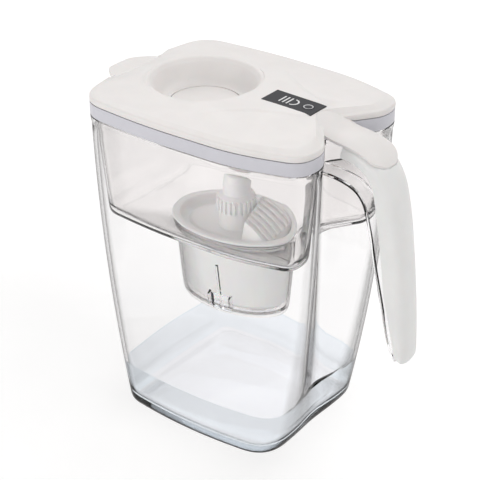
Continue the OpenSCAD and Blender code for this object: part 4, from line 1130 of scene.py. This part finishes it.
stand_in(make_jug(), "jug_body", "jug", "jug_clear")
stand_in(make_handle_shell(), "jug_body", "handle_shell", "shell_white")
stand_in(make_hopper(), "hopper_body", "hopper", "hopper_clear")
stand_in(make_collar(), "hopper_body", "hopper_collar", "collar_grey")
stand_in(make_cover(), "cartridge_body", "cartridge_cover", "cartridge_white")
stand_in(make_lid(), "lid_body", "lid", "lid_white")

water = make_water()
smooth(water)
dress(water, water_material())


# ---- camera, light and floor --------------------------------------------------------------------
CAMERA_AZIMUTH = math.radians(37.21)
CAMERA_HEIGHT_ANGLE = math.radians(29.34)
CAMERA_DISTANCE = 1.0573
CAMERA_TARGET = Vector((-3.16, 0, 133.37)) * MM
LENS_MM = 108.43
SENSOR_MM = 36

ROOM_LIGHT = 0.58
ROOM_COLOR = (1.0, 0.99, 0.985)
WHITE = (1, 1, 1)

FLOOR_HALF = 3.0
FLOOR_DOWN = 0.0002
PAPER_LOW, PAPER_HIGH = (0.93, 0.93, 0.93), (0.95, 0.95, 0.95)
FLOOR_LIFT = 0.165
FLOOR_LIFT_FAR = 0.5
LIFT_FROM, LIFT_TO = 0.35, 2.4
LIFT_THROUGH_CLEAR = 0.85


def make_camera():
    camera = bpy.data.objects.new("camera", bpy.data.cameras.new("camera"))
    camera.data.lens = LENS_MM
    camera.data.sensor_width = SENSOR_MM
    back = Vector((math.sin(CAMERA_AZIMUTH) * math.cos(CAMERA_HEIGHT_ANGLE),
                   -math.cos(CAMERA_AZIMUTH) * math.cos(CAMERA_HEIGHT_ANGLE),
                   math.sin(CAMERA_HEIGHT_ANGLE)))
    camera.location = CAMERA_TARGET + back * CAMERA_DISTANCE
    camera.rotation_euler = back.to_track_quat("Z", "Y").to_euler()
    bpy.context.collection.objects.link(camera)
    return camera


def area_light(name, place, target, size, power):
    lamp = bpy.data.objects.new(name, bpy.data.lights.new(name, "AREA"))
    lamp.data.shape = "RECTANGLE"
    lamp.data.size, lamp.data.size_y = size
    lamp.data.energy = power
    lamp.location = place
    away = Vector(place) - Vector(target)
    lamp.rotation_euler = away.to_track_quat("Z", "Y").to_euler()
    bpy.context.collection.objects.link(lamp)


def background(nodes, color, strength):
    node = nodes.new("ShaderNodeBackground")
    node.inputs["Color"].default_value = (*color, 1)
    node.inputs["Strength"].default_value = strength
    return node.outputs[0]


def make_world():
    """A room that lights the object softly. Seen, mirrored or through clear walls it is white."""
    world = bpy.data.worlds.new("studio")
    world.use_nodes = True
    nodes, links = world.node_tree.nodes, world.node_tree.links
    nodes.clear()
    out = nodes.new("ShaderNodeOutputWorld")
    room = background(nodes, ROOM_COLOR, ROOM_LIGHT)
    white = background(nodes, WHITE, 1)
    rays = nodes.new("ShaderNodeLightPath").outputs
    seen = math_node(nodes, links, "ADD", rays["Is Camera Ray"], rays["Is Glossy Ray"])
    seen = math_node(nodes, links, "ADD", seen, rays["Is Transmission Ray"], clamp=True)
    links.new(mix_shaders(nodes, links, seen, room, white), out.inputs["Surface"])
    return world


def floor_material():
    """White paper that keeps the object's shadow. It glows to the eye only and lights nothing."""
    mat, nodes, links, out = new_material("floor_paper")
    paper = nodes.new("ShaderNodeBsdfDiffuse")
    grain = object_noise(nodes, links, 8)
    links.new(tint(nodes, links, grain, PAPER_LOW, PAPER_HIGH), paper.inputs["Color"])
    lift = nodes.new("ShaderNodeMapRange")
    lift.inputs["From Min"].default_value = LIFT_FROM
    lift.inputs["From Max"].default_value = LIFT_TO
    lift.inputs["To Min"].default_value = FLOOR_LIFT
    lift.inputs["To Max"].default_value = FLOOR_LIFT_FAR
    links.new(distance_from(nodes, links, 0, 0, 0), lift.inputs["Value"])
    glow = nodes.new("ShaderNodeEmission")
    glow.inputs["Color"].default_value = (*WHITE, 1)
    links.new(lift.outputs["Result"], glow.inputs["Strength"])
    lifted = nodes.new("ShaderNodeAddShader")
    links.new(paper.outputs[0], lifted.inputs[0])
    links.new(glow.outputs[0], lifted.inputs[1])
    rays = nodes.new("ShaderNodeLightPath").outputs
    seen = math_node(nodes, links, "MULTIPLY_ADD", rays["Is Transmission Ray"],
                     LIFT_THROUGH_CLEAR, rays["Is Camera Ray"])
    links.new(mix_shaders(nodes, links, seen, paper.outputs[0], lifted.outputs[0]),
              out.inputs["Surface"])
    return mat


def make_floor():
    mesh = bpy.data.meshes.new("floor")
    h = FLOOR_HALF
    mesh.from_pydata([(-h, -h, 0), (h, -h, 0), (h, h, 0), (-h, h, 0)], [], [(0, 1, 2, 3)])
    floor = bpy.data.objects.new("floor", mesh)
    floor.location.z = -FLOOR_DOWN
    dress(floor, floor_material())
    bpy.context.collection.objects.link(floor)


bpy.context.scene.camera = make_camera()
area_light("back_left", (-0.7, 0.7, 1.2), (0, 0, 0.15), (1.0, 0.8), 4)
area_light("back_right", (0.5, 0.8, 1.2), (0, 0, 0.15), (1.0, 0.8), 2.5)
area_light("front", (-0.4, -1.3, 0.5), (0, 0, 0.12), (0.9, 0.7), 6)
area_light("side", (0.9, 0, 1.2), (0, 0, 0.15), (0.8, 0.7), 3.5)
bpy.context.scene.world = make_world()
make_floor()
bpy.context.scene.view_settings.view_transform = "Standard"
